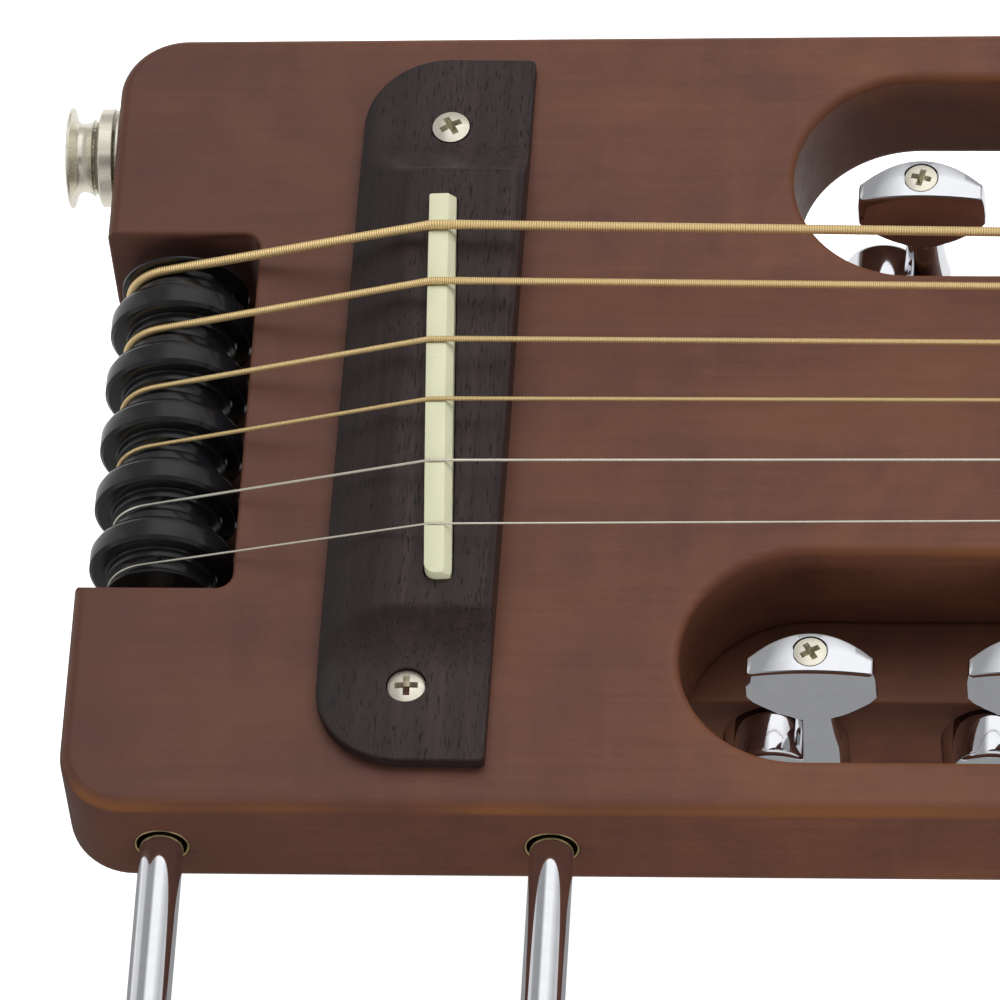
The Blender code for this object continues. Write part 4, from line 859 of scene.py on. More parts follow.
def bridge_margin(x, y):
    """Distance in from the bridge's outline."""
    middle = (BRIDGE_TAIL + BRIDGE_HEAD) / 2
    radius = BRIDGE_TAIL_CORNER if x < middle else BRIDGE_NECK_CORNER
    across = (BRIDGE_TAIL + radius) - x if x < middle else x - (BRIDGE_HEAD - radius)
    along = abs(y) - (BRIDGE_HALF - radius)
    if across > 0 and along > 0:
        return radius - hypot(across, along)
    return min(x - BRIDGE_TAIL, BRIDGE_HEAD - x, BRIDGE_HALF - abs(y))


def bridge_reach(y):
    """The bridge's tail and head edges at a place across it."""
    edges = []
    for edge, radius, inward in ((BRIDGE_TAIL, BRIDGE_TAIL_CORNER, 1), (BRIDGE_HEAD, BRIDGE_NECK_CORNER, -1)):
        along = abs(y) - (BRIDGE_HALF - radius)
        cut = radius - sqrt(max(0.0, radius ** 2 - along ** 2)) if along > 0 else 0.0
        edges.append(edge + inward * cut)
    return edges


def eased_steps(count):
    """Shares from 0 to 1, closer together at both ends."""
    return [(1 - cos(pi * k / count)) / 2 for k in range(count + 1)]


def bridge_shape():
    rounding = 0.0003
    bevel = 0.0011
    rings = []
    for share in eased_steps(300):
        y = -BRIDGE_HALF + 2 * BRIDGE_HALF * share
        tail, head = bridge_reach(y)
        ring = [(tail, y, FACE), (head, y, FACE)]
        for across in reversed(eased_steps(56)):
            x = tail + (head - tail) * across
            margin = max(0.0, bridge_margin(x, y))
            height = bridge_height(x, y)
            if margin < rounding:
                height -= rounding * (1 - sqrt(1 - ((rounding - margin) / rounding) ** 2))
            slope = max(0.0, bevel - (BRIDGE_HEAD - x)) * 0.6 * eased((height - BRIDGE_WING) / 0.002)
            ring.append((x, y, FACE + height - slope))
        rings.append(ring)
    return loft(rings)


def on_bridge(shape):
    """Turned with the bridge about its middle: its bass end lies nearer the neck."""
    middle = (BRIDGE_TAIL + BRIDGE_HEAD) / 2
    return moved(turned(moved(shape, (-middle, 0, 0)), "Z", -BRIDGE_TURN), (middle, 0, 0))


def slanted(shape):
    turn = atan(SADDLE_SLANT)
    return moved(turned(shape, "Z", turn), (SADDLE_X, 0, 0))


def saddle_outline(grow):
    half = SADDLE_LENGTH / 2 + grow
    thick = SADDLE_THICK / 2 + grow
    radius = SADDLE_THICK * 0.42
    low, high = SADDLE_SHIFT - half, SADDLE_SHIFT + half
    corners = [(thick, high, 0.0004, 1), (-thick, high, 0.0006, 1), (-thick, low, radius, 1),
               (thick, low, radius * 0.7, 1)]
    return rounded_outline(corners, 10)


def make_bridge():
    bridge = raw("bridge_plate", on_bridge(bridge_shape()))
    carve(bridge, slanted(prism(saddle_outline(0.00022), "Z", FACE + 0.003, FACE + 0.012)))
    for name, side, turn, sink in (("treble", -1, 2, 0.0010), ("bass", 1, 30, 0.0002)):
        (x, y, _), = on_bridge(([(BRIDGE_SCREW[0], side * BRIDGE_SCREW[1], 0)], []))[0]
        level = FACE + BRIDGE_WING + SCREW_RIM - sink
        recess = revolved([(0.0015, -0.003), (0.00283, -0.0017), (0.00283, 0.004)], "Z")
        carve(bridge, moved(recess, (x, y, FACE + BRIDGE_WING)))
        make_screw(f"bridge_screw_head_{name}", "Z", (x + TAIL, y, level), SCREW_LENGTH,
                   f"bridge_screw_{name}", turn=radians(turn))
    bridge.location = (TAIL, 0, 0)
    finished(bridge, "dark_rosewood", nodes=("bridge",), sharp=40, weighted=True)


def make_saddle():
    """Flat top with a bevel on the neck side, and a groove for each string."""
    thick = SADDLE_THICK / 2
    half = SADDLE_LENGTH / 2
    low = FACE + 0.0045
    bevel, bevel_drop = 0.00105, 0.0010
    rings = []
    stations = 620
    for k in range(stations + 1):
        y = -half + 2 * half * k / stations
        place_now = y + SADDLE_SHIFT
        top = FACE + SADDLE_TOP + FIT - crown(place_now)
        inward = half - abs(y)
        corner = 0.0017 if y < 0 else 0.0004
        tail_pull = corner - sqrt(max(0.0, corner ** 2 - max(0.0, corner - inward) ** 2))
        head_pull = tail_pull * (0.25 if y < 0 else 1.0)
        drop = 0.0
        for number in range(1, STRINGS + 1):
            radius = GAUGES[number - 1] / 2 + 0.00006
            away = abs(place_now - string_y(number, STRING_SPREAD))
            if away < radius:
                drop = max(drop, sqrt(radius ** 2 - away ** 2) * 0.55)
        end_round = 0.0003
        if inward < end_round:
            drop += end_round - sqrt(max(0.0, end_round ** 2 - (end_round - inward) ** 2))
        top += 0.00012 - drop
        tail, head = -thick + tail_pull, thick - head_pull
        rings.append([
            (tail, place_now, low), (head, place_now, low), (head, place_now, top - bevel_drop - 0.0001),
            (head - 0.00008, place_now, top - bevel_drop + 0.00002),
            (head - bevel + 0.00006, place_now, top - 0.00004),
            (head - bevel - 0.00006, place_now, top), (tail + 0.0002, place_now, top),
            (tail + 0.00005, place_now, top - 0.00006), (tail, place_now, top - 0.0002),
        ])
    made = raw("saddle_bone", slanted(loft(rings)))
    made.location = (TAIL, 0, 0)
    finished(made, "bone", nodes=("saddle",), sharp=24)


# Screws

SCREW_RADIUS = 0.00265
SCREW_HEIGHT = 0.0014
SCREW_DOME = 0.0005
SCREW_SHANK = 0.0014
SCREW_PITCH = 0.0013
SCREW_LENGTH = 0.014


def cross_cutter(reach, width, depth):
    """The tapered cross of a Phillips recess, below height zero."""
    shapes = []
    for turn in (0, pi / 2):
        top = [(-reach, -width), (reach, -width), (reach, width), (-reach, width)]
        rings = []
        for share, level in ((1.2, depth * 0.5), (1, 0), (0.75, -depth * 0.6), (0.3, -depth)):
            rings.append([(x * share, y * (0.4 + 0.6 * share), level) for x, y in top])
        shapes.append(turned(loft(rings), "Z", turn))
    return shapes


def make_screw(name, axis, at, length, node, turn=0.0):
    """A Phillips wood screw whose head's rim lies at the given place."""
    root = SCREW_SHANK * 0.78
    profile = [(0.0001, -length)]
    threads = int((length - SCREW_HEIGHT - 0.002) / SCREW_PITCH)
    for k in range(threads):
        base = -length + 0.001 + k * SCREW_PITCH
        swell = min(1.0, (k + 1) / 4)
        profile += [(root * swell, base), (SCREW_SHANK * swell, base + SCREW_PITCH * 0.45),
                    (root * swell, base + SCREW_PITCH * 0.7)]
    profile += [(SCREW_SHANK, -SCREW_HEIGHT - 0.0008), (SCREW_SHANK, -SCREW_HEIGHT),
                (SCREW_RADIUS * 0.97, -SCREW_HEIGHT * 0.25), (SCREW_RADIUS, -SCREW_HEIGHT * 0.12)]
    steps = 8
    for step in range(steps + 1):
        share = 1 - step / steps
        profile.append((max(SCREW_RADIUS * share, 0.00001), SCREW_DOME * (1 - share ** 2)))
    made = raw(name, revolved(profile, "Z", 48))
    for cutter in cross_cutter(SCREW_RADIUS * 0.62, SCREW_RADIUS * 0.18, 0.0024):
        carve(made, moved(turned(cutter, "Z", turn), (0, 0, SCREW_DOME * 0.8)))
    if axis == "Y":
        made.data.transform(Matrix.Rotation(-pi / 2, 4, "X"))
    made.location = at
    finished(made, "nickel_steel", nodes=(node,), sharp=30)


# Tuners

TUNER_Y = 0.0405
GEAR_DEPTH = 0.0262
GEAR_Z = FACE - GEAR_DEPTH
GEAR_TEETH = 18
GEAR_RADIUS = 0.0042
TUNER_CENTRES = 0.0062
WORM_RADIUS = TUNER_CENTRES - GEAR_RADIUS
WORM_PITCH = 2 * pi * GEAR_RADIUS / GEAR_TEETH
POST_RADIUS = 0.003
POST_TIP = 0.0038
BUTTON_HALF = 0.00915
BUTTON_TOP_HALF = 0.0082
BUTTON_TOP = -0.0001
BUTTON_TALL = 0.0127
BUTTON_CROWN = 0.0008
BUTTON_FACE = 0.0033
BUTTON_RISE = GEAR_DEPTH + BUTTON_TOP
SCREW_SEAT = BUTTON_RISE - 0.0009


def button_outline(share):
    """Top and bottom of the button at a share of its half width, below its top edge."""
    away = abs(share) * BUTTON_HALF
    corner = 0.0059
    if away <= BUTTON_TOP_HALF:
        top = BUTTON_CROWN * (away / BUTTON_TOP_HALF) ** 2
    else:
        past = (away - BUTTON_TOP_HALF) / (BUTTON_HALF - BUTTON_TOP_HALF)
        top = BUTTON_CROWN + (corner - 0.0016) * past ** 4.5
    tip, tip_drop = 0.0032, 0.0011
    if away < tip:
        bottom = BUTTON_TALL - tip_drop * (away / tip) ** 2
    else:
        share = (away - tip) / (BUTTON_HALF - tip)
        bottom = BUTTON_TALL - tip_drop - (BUTTON_TALL - tip_drop - corner - 0.0012) * share ** 1.3
    return top, bottom


def button_shape():
    """A flat face towards the treble side, a bulged one towards the bass side, and thin bevels."""
    bevel = 0.00028
    shares = [-1 + 2 * s for s in eased_steps(64)]
    rings = []
    for share in shares:
        top, bottom = button_outline(share)
        rise = BUTTON_RISE
        x = share * BUTTON_HALF
        near = -BUTTON_FACE
        far = near + 0.0029 + 0.0035 * (1 - min(1.0, abs(share) / 0.93) ** 2)
        end = max(0.0, (abs(share) - 0.985) / 0.015)
        pull = bevel * end
        near += 0.0004 * max(0.0, (abs(share) - 0.89) / 0.11)
        near, far, top, bottom = near + pull, far - pull, top + pull, bottom - pull
        swell = 0.00035 * (1 - share ** 2)
        middle = (near + far) / 2
        rings.append([
            (x, near, rise - top - bevel * 2.2), (x, near + bevel * 0.1, rise - top - bevel * 1.4),
            (x, near + bevel * 0.45, rise - top - bevel * 0.6), (x, near + bevel, rise - top - bevel * 0.15),
            (x, near + bevel * 1.6, rise - top), (x, middle - 0.0006, rise - top + swell * 0.8),
            (x, middle + 0.0006, rise - top + swell * 0.8), (x, far - bevel, rise - top),
            (x, far - bevel * 0.3, rise - top - bevel * 0.3), (x, far, rise - top - bevel),
            (x, far, rise - (top + bottom) / 2), (x, far, rise - bottom + bevel),
            (x, far - bevel * 0.3, rise - bottom + bevel * 0.3), (x, far - bevel, rise - bottom),
            (x, near + bevel, rise - bottom), (x, near + bevel * 0.3, rise - bottom + bevel * 0.3),
            (x, near, rise - bottom + bevel), (x, near, rise - (top + bottom) / 2),
        ])
    return loft(rings)


def worm_radius(angle, height):
    """The thread's radius: a trapezoid ridge that climbs one pitch a turn."""
    half = WORM_PITCH * 1.4
    core, tip = WORM_RADIUS - 0.0006, WORM_RADIUS + 0.00036
    place_now = (height / WORM_PITCH - angle / (2 * pi) + 0.5) % 1.0
    ridge = eased((0.36 - abs(place_now - 0.5)) / 0.14)
    fade = eased((half - abs(height)) / (WORM_PITCH * 0.4))
    return core + (tip - core) * ridge * fade


def shaft_shape():
    """The worm on the button's shaft, with the button screw on top."""
    levels = []
    worm_half = WORM_PITCH * 1.5 + 0.0006
    steps = 90
    for k in range(steps + 1):
        height = -worm_half + 2 * worm_half * k / steps
        levels.append((height, lambda angle, h=height: worm_radius(angle, h)))
    top, seat = BUTTON_RISE, SCREW_SEAT
    for radius, height in ((0.0015, worm_half), (0.0015, seat), (0.0022, seat), (0.00235, seat + 0.0001),
                           (0.00235, top - 0.00022), (0.00228, top - 0.00008)):
        levels.append((height, lambda angle, r=radius: r))
    for step in range(1, 7):
        share = 1 - step / 6
        radius = max(0.00228 * share, 0.00001)
        levels.append((top - 0.00008 + 0.00025 * (1 - share ** 2), lambda angle, r=radius: r))
    return radial(levels, 64, "Z")


def gear_radius(angle, tooth_turn):
    share = (angle / (2 * pi) * GEAR_TEETH + tooth_turn) % 1.0
    ridge = eased((0.34 - abs(share - 0.5)) / 0.16)
    return GEAR_RADIUS - 0.0006 + 0.00094 * ridge


def post_shape(side):
    """The worm gear and its string post about Y, towards the centre line."""
    face = 0.00175
    levels = []
    lead = WORM_PITCH / (2 * pi * WORM_RADIUS)
    for step in range(7):
        height = -face + 2 * face * step / 6
        twist = height * lead / GEAR_RADIUS / (2 * pi) * GEAR_TEETH
        levels.append((height, lambda angle, t=twist: gear_radius(angle, t)))
    tip = TUNER_Y - POST_TIP
    for radius, height in ((POST_RADIUS, -face), (POST_RADIUS, -face - 0.001), (POST_RADIUS, -tip + 0.0006),
                           (POST_RADIUS * 0.93, -tip + 0.0002), (POST_RADIUS * 0.8, -tip)):
        levels.insert(0, (height, lambda angle, r=radius: r))
    levels.append((face, lambda angle: POST_RADIUS * 0.8))
    return flipped(radial(levels, GEAR_TEETH * 8, "Y"), side)


def housing_shapes(side):
    """Gear cover, worm barrel with its collar, and the web between them, about the gear's centre."""
    inner, outer = 0.0338 - TUNER_Y, 0.0442 - TUNER_Y
    cover_radius = 0.0057
    cover = [(cover_radius, inner), (cover_radius, outer - 0.0012)]
    for step in range(1, 7):
        angle = pi / 2 * step / 6
        cover.append((cover_radius - 0.0012 * (1 - cos(angle)), outer - 0.0012 * (1 - sin(angle))))
    barrel_radius, neck, room = 0.0035, 0.00262, WORM_PITCH * 1.5 + 0.0009
    collar_top = GEAR_DEPTH - 0.0122
    barrel = [(barrel_radius - 0.0008, -room - 0.0008), (barrel_radius - 0.0002, -room - 0.0006),
              (barrel_radius, -room), (barrel_radius, room)]
    for step in range(1, 10):
        share = step / 9
        radius = neck + (barrel_radius - neck) * (1 - share) ** 2.2
        barrel.append((radius, room + (collar_top - 0.0004 - room) * share))
    barrel += [(0.00255, collar_top - 0.00015), (0.0024, collar_top), (0.0018, collar_top)]
    solids = [revolved(cover, "Y", 72), moved(revolved(barrel, "Z", 64), (TUNER_CENTRES, 0, 0)),
              box((0, TUNER_CENTRES), (-barrel_radius * 0.9, outer - 0.0009), (-room, room * 0.9))]
    worm_room = rod("Z", 0.0027, -room, room)
    shaft_room = rod("Z", 0.0017, 0, collar_top + 0.001)
    hollows = [rod("Y", 0.0049, -0.00205, 0.00205), moved(worm_room, (TUNER_CENTRES, 0, 0)),
               moved(shaft_room, (TUNER_CENTRES, 0, 0)), rod("Y", POST_BORE, inner - 0.001, 0)]
    return [flipped(s, side) for s in solids], [flipped(h, side) for h in hollows]


def make_tuner(number, side, shaft_x):
    """Housing, shaft, button and post, each about the gear's or the shaft's centre."""
    gear_x = shaft_x - TUNER_CENTRES + TAIL
    y = side * TUNER_Y
    solids, hollows = housing_shapes(side)
    housing = raw(f"gear_housing_{number}", solids[0])
    for shape in solids[1:]:
        carve(housing, shape, "UNION")
    for shape in hollows:
        carve(housing, shape)
    housing.location = (gear_x, y, GEAR_Z)
    finished(housing, "chrome", nodes=(f"tuner_housing_{number}",), sharp=30)
    body = f"tuner_{number}"
    shaft = raw(f"button_shaft_{number}", shaft_shape())
    for cutter in cross_cutter(0.00145, 0.00044, 0.0024):
        carve(shaft, moved(turned(cutter, "Z", radians(22 + 9 * number)), (0, 0, BUTTON_RISE + 0.0001)))
    shaft.location = (shaft_x + TAIL, y, GEAR_Z)
    finished(shaft, "nickel_steel", body=body, nodes=(f"worm_shaft_{number}",), sharp=30)
    button = raw(f"tuning_button_{number}", button_shape())
    seat = SCREW_SEAT - 0.0002
    bore = [(0.0016, 0.001), (0.0016, seat), (0.00252, seat), (0.00252, BUTTON_RISE + 0.002)]
    carve(button, revolved(bore, "Z"))
    button.location = (shaft_x + TAIL, y, GEAR_Z)
    finished(button, "chrome", body=body, nodes=(f"tuner_button_{number}",), sharp=24, weighted=True)
    post = raw(f"winding_post_{number}", post_shape(side))
    lane = side * (lane_y(number) - TUNER_Y)
    carve(post, moved(rod("Z", 0.0009, -0.005, 0.005, 24), (0, lane, 0)))
    post.location = (gear_x, y, GEAR_Z)
    finished(post, "nickel_steel", body=f"post_{number}", nodes=(f"string_post_{number}",), sharp=30)


def lane_y(number):
    order = min(number - 1, STRINGS - number)
    return 0.018 - order * 0.0057


# Strings

GAUGES = (0.000305, 0.000406, 0.00061, 0.000813, 0.00107, 0.00135)
WRAP_PITCHES = (0, 0, 0.00019, 0.00023, 0.00029, 0.00036)
STRING_SPREAD = 0.0508
NUT_SPREAD = 0.035
WINDINGS = 2.25
WINDING_GAP = 0.00045
ANCHOR_WALL_X = HEAD_END - 0.0095
ANCHOR_WALL = 0.003
BALL_HEIGHT = 0.0048
BALL_RADIUS = 0.0019
BALL_LENGTH = 0.004


def string_y(number, spread):
    return (number - (STRINGS + 1) / 2) * spread / (STRINGS - 1)


def nut_top():
    return FACE + BOARD_THICK + 0.001 + 0.0003


def string_points(number, side, shaft_x):
    """Centre line from the ball at the head to the last winding on the post, with radii."""
    radius = GAUGES[number - 1] / 2
    nut_y, saddle_y = string_y(number, NUT_SPREAD), string_y(number, STRING_SPREAD)
    ball_x = ANCHOR_WALL_X + ANCHOR_WALL + FIT
    ball_z = FACE + BALL_HEIGHT
    nut_z = nut_top() - crown(nut_y) + FIT + radius
    top_x = SADDLE_X - SADDLE_SLANT * saddle_y
    top_z = FACE + SADDLE_TOP - crown(saddle_y) + FIT + radius
    ball = [(1, 0.6), (0.93, 0.88), (0.85, 1), (0.15, 1), (0.07, 0.88), (0, 0.6)]
    points = [((ball_x + BALL_LENGTH * share, nut_y, ball_z), BALL_RADIUS * size) for share, size in ball]
    points.append(((ball_x - FIT, nut_y, ball_z), radius))
    points += [((x, nut_y, nut_z), radius) for x in (NUT_X + NUT_LENGTH, NUT_X)]
    points.append(((top_x + SADDLE_THICK * 0.15, saddle_y, top_z), radius))
    leave = top_x - SADDLE_THICK * 0.3
    points.append(((leave, saddle_y, top_z), radius))
    around = GROOVE_RADIUS + FIT + radius
    dx, dz = leave - ROLLER_X, top_z - ROLLER_Z
    climb = atan2(dz, dx) - asin(around / hypot(dx, dz))
    winding = POST_RADIUS + FIT + radius
    post_x = shaft_x - TUNER_CENTRES
    dx, dz = post_x - ROLLER_X, GEAR_Z - ROLLER_Z
    slope = atan2(dz, dx) + asin((around + winding) / hypot(dx, dz))
    first, last = climb + pi / 2, slope + 3 * pi / 2
    steps = 30
    for step in range(steps + 1):
        angle = first + (last - first) * step / steps
        x, z = ROLLER_X + around * cos(angle), ROLLER_Z + around * sin(angle)
        points.append(((x, roller_y(number), z), radius))
    advance = GAUGES[number - 1] + WINDING_GAP
    first = slope + pi / 2
    turns = ceil(WINDINGS * 28)
    for step in range(turns + 1):
        wound = WINDINGS * step / turns
        angle = first - 2 * pi * wound
        y = side * (lane_y(number) + advance * (WINDINGS / 2 - wound))
        points.append(((post_x + winding * cos(angle), y, GEAR_Z + winding * sin(angle)), radius))
    return points


def make_strings():
    for number, side, shaft_x in tuner_places():
        points = string_points(number, side, shaft_x)
        shape, along = tube([p for p, _ in points], [r for _, r in points], 14)
        made = raw(f"string_wire_{number}", shape)
        wound = number > 2
        if wound:
            wraps = made.data.attributes.new("wraps", "FLOAT", "POINT")
            wraps.data.foreach_set("value", [a / WRAP_PITCHES[number - 1] for a in along])
        made.location = (TAIL, 0, 0)
        finished(made, "bronze_wire" if wound else "nickel_steel", nodes=(f"string_{number}",), sharp=60)


# Neck fittings

def make_fretboard():
    start = fret_x(FRETS) - BOARD_OVERHANG
    top = FACE + BOARD_THICK
    rings = []
    edge = 0.0006
    for x, pull in ((start, edge), (start + edge * 0.3, edge * 0.3), (start + edge, 0), (NUT_X - FIT, 0)):
        half = board_half(x) - pull * 0.5
        arc = []
        for step in range(41):
            y = (half - edge) - 2 * (half - edge) * step / 40
            arc.append((x, y, top - crown(y) - pull))
        low = top - crown(half - edge) - edge - pull
        rings.append([(x, -half, low), (x, -half, FACE), (x, half, FACE), (x, half, low), *arc])
    made = raw("fingerboard", loft(rings))
    dots = [(number, (0,)) for number in (3, 5, 7, 9, 15, 17, 19, 21)] + [(12, (-0.009, 0.009))]
    dot_radius = 0.0029
    wide = dot_radius * 0.99
    dot = revolved([(wide, -0.0009), (wide, -0.00004), (dot_radius * 0.9, 0.00002)], "Z")
    for number, places in dots:
        x = (fret_x(number) + fret_x(number - 1)) / 2
        for y in places:
            carve(made, moved(rod("Z", dot_radius, -0.001, 0.002), (x, y, top - crown(y))))
            side = "bass" if y > 0 else "treble" if y < 0 else "middle"
            piece(f"position_dot_{number}_{side}", dot, "bone", (x + TAIL, y, top - crown(y) - 0.00001))
    made.location = (TAIL, 0, 0)
    finished(made, "dark_rosewood", nodes=("fretboard",), sharp=30, weighted=True)
    for number in range(1, FRETS + 1):
        x = fret_x(number)
        half = board_half(x)
        rings = []
        for step in range(41):
            y = half - 2 * half * step / 40
            end = max(0.0, min(1.0, (half - abs(y)) / 0.0009))
            height = 0.00095 * (0.35 + 0.65 * sqrt(end))
            ring = [(-0.0011, y, -0.0004), (0.0011, y, -0.0004)]
            for k in range(9):
                angle = pi * k / 8
                ring.append((0.0012 * cos(angle), y, height * sin(angle)))
            rings.append([(px, py, pz - crown(y)) for px, py, pz in ring])
        piece(f"fret_{number}", loft(rings), "nickel_steel", (x + TAIL, 0, top))


def make_nut():
    half = NUT_WIDTH / 2
    rings = []
    edges = [(0, 0.0006), (0.0002, 0.00015), (0.0006, 0), (NUT_LENGTH - 0.0012, 0.0002),
             (NUT_LENGTH - 0.0004, 0.0007), (NUT_LENGTH, 0.0013)]
    for x, lower in edges:
        ring = [(x, -half, FACE), (x, half, FACE)]
        for step in range(201):
            y = half - 2 * half * step / 200
            level = nut_top() + FIT - crown(y) - lower
            for number in range(1, STRINGS + 1):
                radius = GAUGES[number - 1] / 2 + 0.00003
                away = abs(y - string_y(number, NUT_SPREAD))
                if away < radius:
                    level -= sqrt(radius ** 2 - away ** 2) * 0.9
            ring.append((x, y, level))
        rings.append(ring)
    piece("nut_bone", loft(rings), "bone", (NUT_X + TAIL, 0, 0), nodes=("nut",), sharp=28)


def make_anchor():
    wall = ANCHOR_WALL_X
    base, plate, height, foot = FACE, 0.0025, 0.0075, 0.0085
    half = NUT_WIDTH / 2
    profile = [(wall - foot, base), (wall + ANCHOR_WALL, base), (wall + ANCHOR_WALL, FACE + height),
               (wall, FACE + height), (wall, base + plate), (wall - foot, base + plate)]
    made = raw("string_anchor_plate", prism([(z, x) for x, z in profile], "Y", -half, half))
    for number in range(1, STRINGS + 1):
        y = string_y(number, NUT_SPREAD)
        reach = GAUGES[number - 1] / 2 + 0.0002
        span = (wall - 0.001, wall + ANCHOR_WALL + 0.001)
        carve(made, box(span, (y - reach, y + reach), (FACE + BALL_HEIGHT - reach * 1.3, FACE + height * 2)))
    screws = {"treble": -0.0155, "bass": 0.0155}
    screw_x = wall - foot / 2
    sink = revolved([(0.0017, -0.004), (0.0017, -0.0017), (0.00285, -0.0003), (0.00285, 0.003)], "Z")
    for y in screws.values():
        carve(made, moved(sink, (screw_x, y, base + plate)))
    made.location = (TAIL, 0, 0)
    finished(made, "nickel_steel", nodes=("string_anchor",), edge=0.0003)
    for name, y in screws.items():
        make_screw(f"anchor_screw_head_{name}", "Z", (screw_x + TAIL, y, base + plate - 0.00035),
                   SCREW_LENGTH, f"anchor_screw_{name}")


# Lap rest, jack and strap button

def ring_piece(name, profile, axis, at, node, segments=96, finish="nickel_steel", sharp=30):
    """A hollow turned piece that stands for one solid."""
    piece(name, revolved(profile, axis, segments, hollow=True), finish, at, nodes=(node,), sharp=sharp)


def make_lap_rest():
    """A bent chrome rod with softened ends in two brass sockets."""
    low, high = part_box("lap_rest")
    radius = 0.00305
    first, second = low.x + radius, high.x - radius
    inner, outer = high.y, low.y + radius
    z = (low.z + high.z) / 2
    bend = 0.016
    soft = 0.0004
    points = [(first, inner), (first, inner - soft), (first, outer + bend)]
    radii = [radius - soft, radius, radius]
    steps = 24
    for step in range(1, steps + 1):
        angle = pi + pi / 2 * step / steps
        points.append((first + bend + bend * cos(angle), outer + bend + bend * sin(angle)))
        radii.append(radius)
    points += [(first + second - x, y) for x, y in reversed(points)]
    radii += radii[::-1]
    shape, _ = tube([(x, y, z) for x, y in points], radii, 40)
    piece("lap_rest_rod", shape, "chrome", body="rest", nodes=("lap_rest",), sharp=30)
    for name in ("tail", "neck"):
        node = f"lap_rest_socket_{name}"
        low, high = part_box(node)
        outside = (high.x - low.x) / 2
        inside = outside - 0.00032
        length = high.y - low.y
        profile = [(inside, 0.0001), (inside + 0.0001, 0), (outside - 0.00008, 0), (outside, 0.0001),
                   (outside, length), (inside, length)]
        at = ((low.x + high.x) / 2, low.y, (low.z + high.z) / 2)
        ring_piece(f"brass_socket_{name}", profile, "Y", at, node, 72, "brass")


def make_jack():
    """Washer, barrel nut, strap collar and the jack's own barrel, from the tail inwards."""
    low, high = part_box("jack_nut")
    y, z = (low.y + high.y) / 2, (low.z + high.z) / 2
    inside = 0.0043
    washer_low, washer_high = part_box("jack_washer")
    radius = (washer_high.y - washer_low.y) / 2
    edge = 0.00012
    profile = [(inside, 0), (radius - edge, 0), (radius, edge), (radius, 0.0004), (inside, 0.0004)]
    ring_piece("tail_washer", profile, "X", (washer_low.x + 0.00015, y, z), "jack_washer")
    length = high.x - low.x
    profile = [(inside, 0), (0.00475, 0), (0.0049, 0.00003), (radius - 0.0001, 0.00085), (radius, 0.00098),
               (radius, length - 0.00008), (radius - 0.00008, length), (inside, length)]
    ring_piece("barrel_nut", profile, "X", (low.x, y, z), "jack_nut")
    low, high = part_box("strap_collar")
    length = high.x - low.x
    flange, neck = 0.0073, 0.0050
    profile = [(inside, 0), (flange - 0.0005, 0), (flange - 0.00015, 0.0001), (flange, 0.0003),
               (flange - 0.0001, 0.00055)]
    steps = 12
    for step in range(steps + 1):
        share = step / steps
        waist = neck + (flange - 0.0008 - neck) * (1 - sin(min(1.0, share * 2.2) * pi / 2)) ** 1.6
        swell = 0.0006 * max(0.0, share * 2 - 1) ** 2
        profile.append((waist + swell, 0.0007 + (length - 0.0007) * share))
    profile.append((inside, length))
    ring_piece("strap_flange", profile, "X", (low.x, y, z), "strap_collar")
    low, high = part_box("endpin_jack")
    start = low.x
    bore, sleeve, barrel = 0.0033, 0.0042, 0.0056
    length = high.x - low.x
    profile = [(bore, length * 0.9), (bore, 0.0004), (bore + 0.0003, 0.0001), (sleeve - 0.0002, 0),
               (sleeve, 0.0002)]
    base = 0.0015 + (TAIL - start)
    for k in range(18):
        place_now = 0.0006 + k * (base - 0.0012) / 18
        profile += [(sleeve - 0.0002, place_now), (sleeve, place_now + 0.0002)]
    profile += [(sleeve, base), (barrel, base), (barrel, length - 0.0005), (barrel - 0.0005, length)]
    piece("jack_barrel", revolved(profile, "X", 72), "nickel_steel", (start, y, z),
          nodes=("endpin_jack",), sharp=30)


def make_strap_button():
    low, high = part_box("strap_button")
    x, z = (low.x + high.x) / 2, (low.z + high.z) / 2
    length = high.y - low.y
    radius, neck, inside = 0.0065, 0.0040, 0.0017
    profile = [(inside, 0), (radius * 0.92, 0), (radius * 0.95, 0.0003)]
    steps = 14
    for step in range(1, steps):
        share = step / steps
        waist = abs(share - 0.5) * 2
        profile.append((neck + (radius * 0.93 - neck) * waist ** 2.4, length * (0.03 + 0.78 * share)))
    profile += [(radius, length * 0.83), (radius, length * 0.9), (radius * 0.96, length * 0.96),
                (radius * 0.82, length), (0.00295, length), (0.0028, length - 0.0012),
                (inside, length - 0.0017)]
    ring_piece("strap_peg", profile, "Y", (x, low.y, z), "strap_button", 72, sharp=32)
    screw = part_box("strap_button_screw")
    make_screw("strap_peg_screw", "Y", (x, screw[1].y - 0.0006, z), 0.0255, "strap_button_screw")


# Parts whose solids are right as they are, with a fuller finish

def dress(node, finish):
    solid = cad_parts[node]
    solid.data.materials.clear()
    solid.data.materials.append(FINISHES[finish])


# Stage

KEY_PLACE = (0.1, 0.95, 1.45)
KEY_SIZE = (2.0, 1.4)
KEY_POWER = 30
FILL_PLACE = (-0.15, -1.6, 0.35)
FILL_SIZE = (1.5, 0.4)
FILL_POWER = 10
AMBIENT = 0.44
# Painted shade: grey of the floor in reflections, in place of the guitar's shadow on it, from the treble side
# to the bass side
FLOOR_SHADE_IN_REFLECTIONS = ((0.0, 0.34), (1.0, 0.95))
FLOOR_GRADE = (-0.02, 0.035)
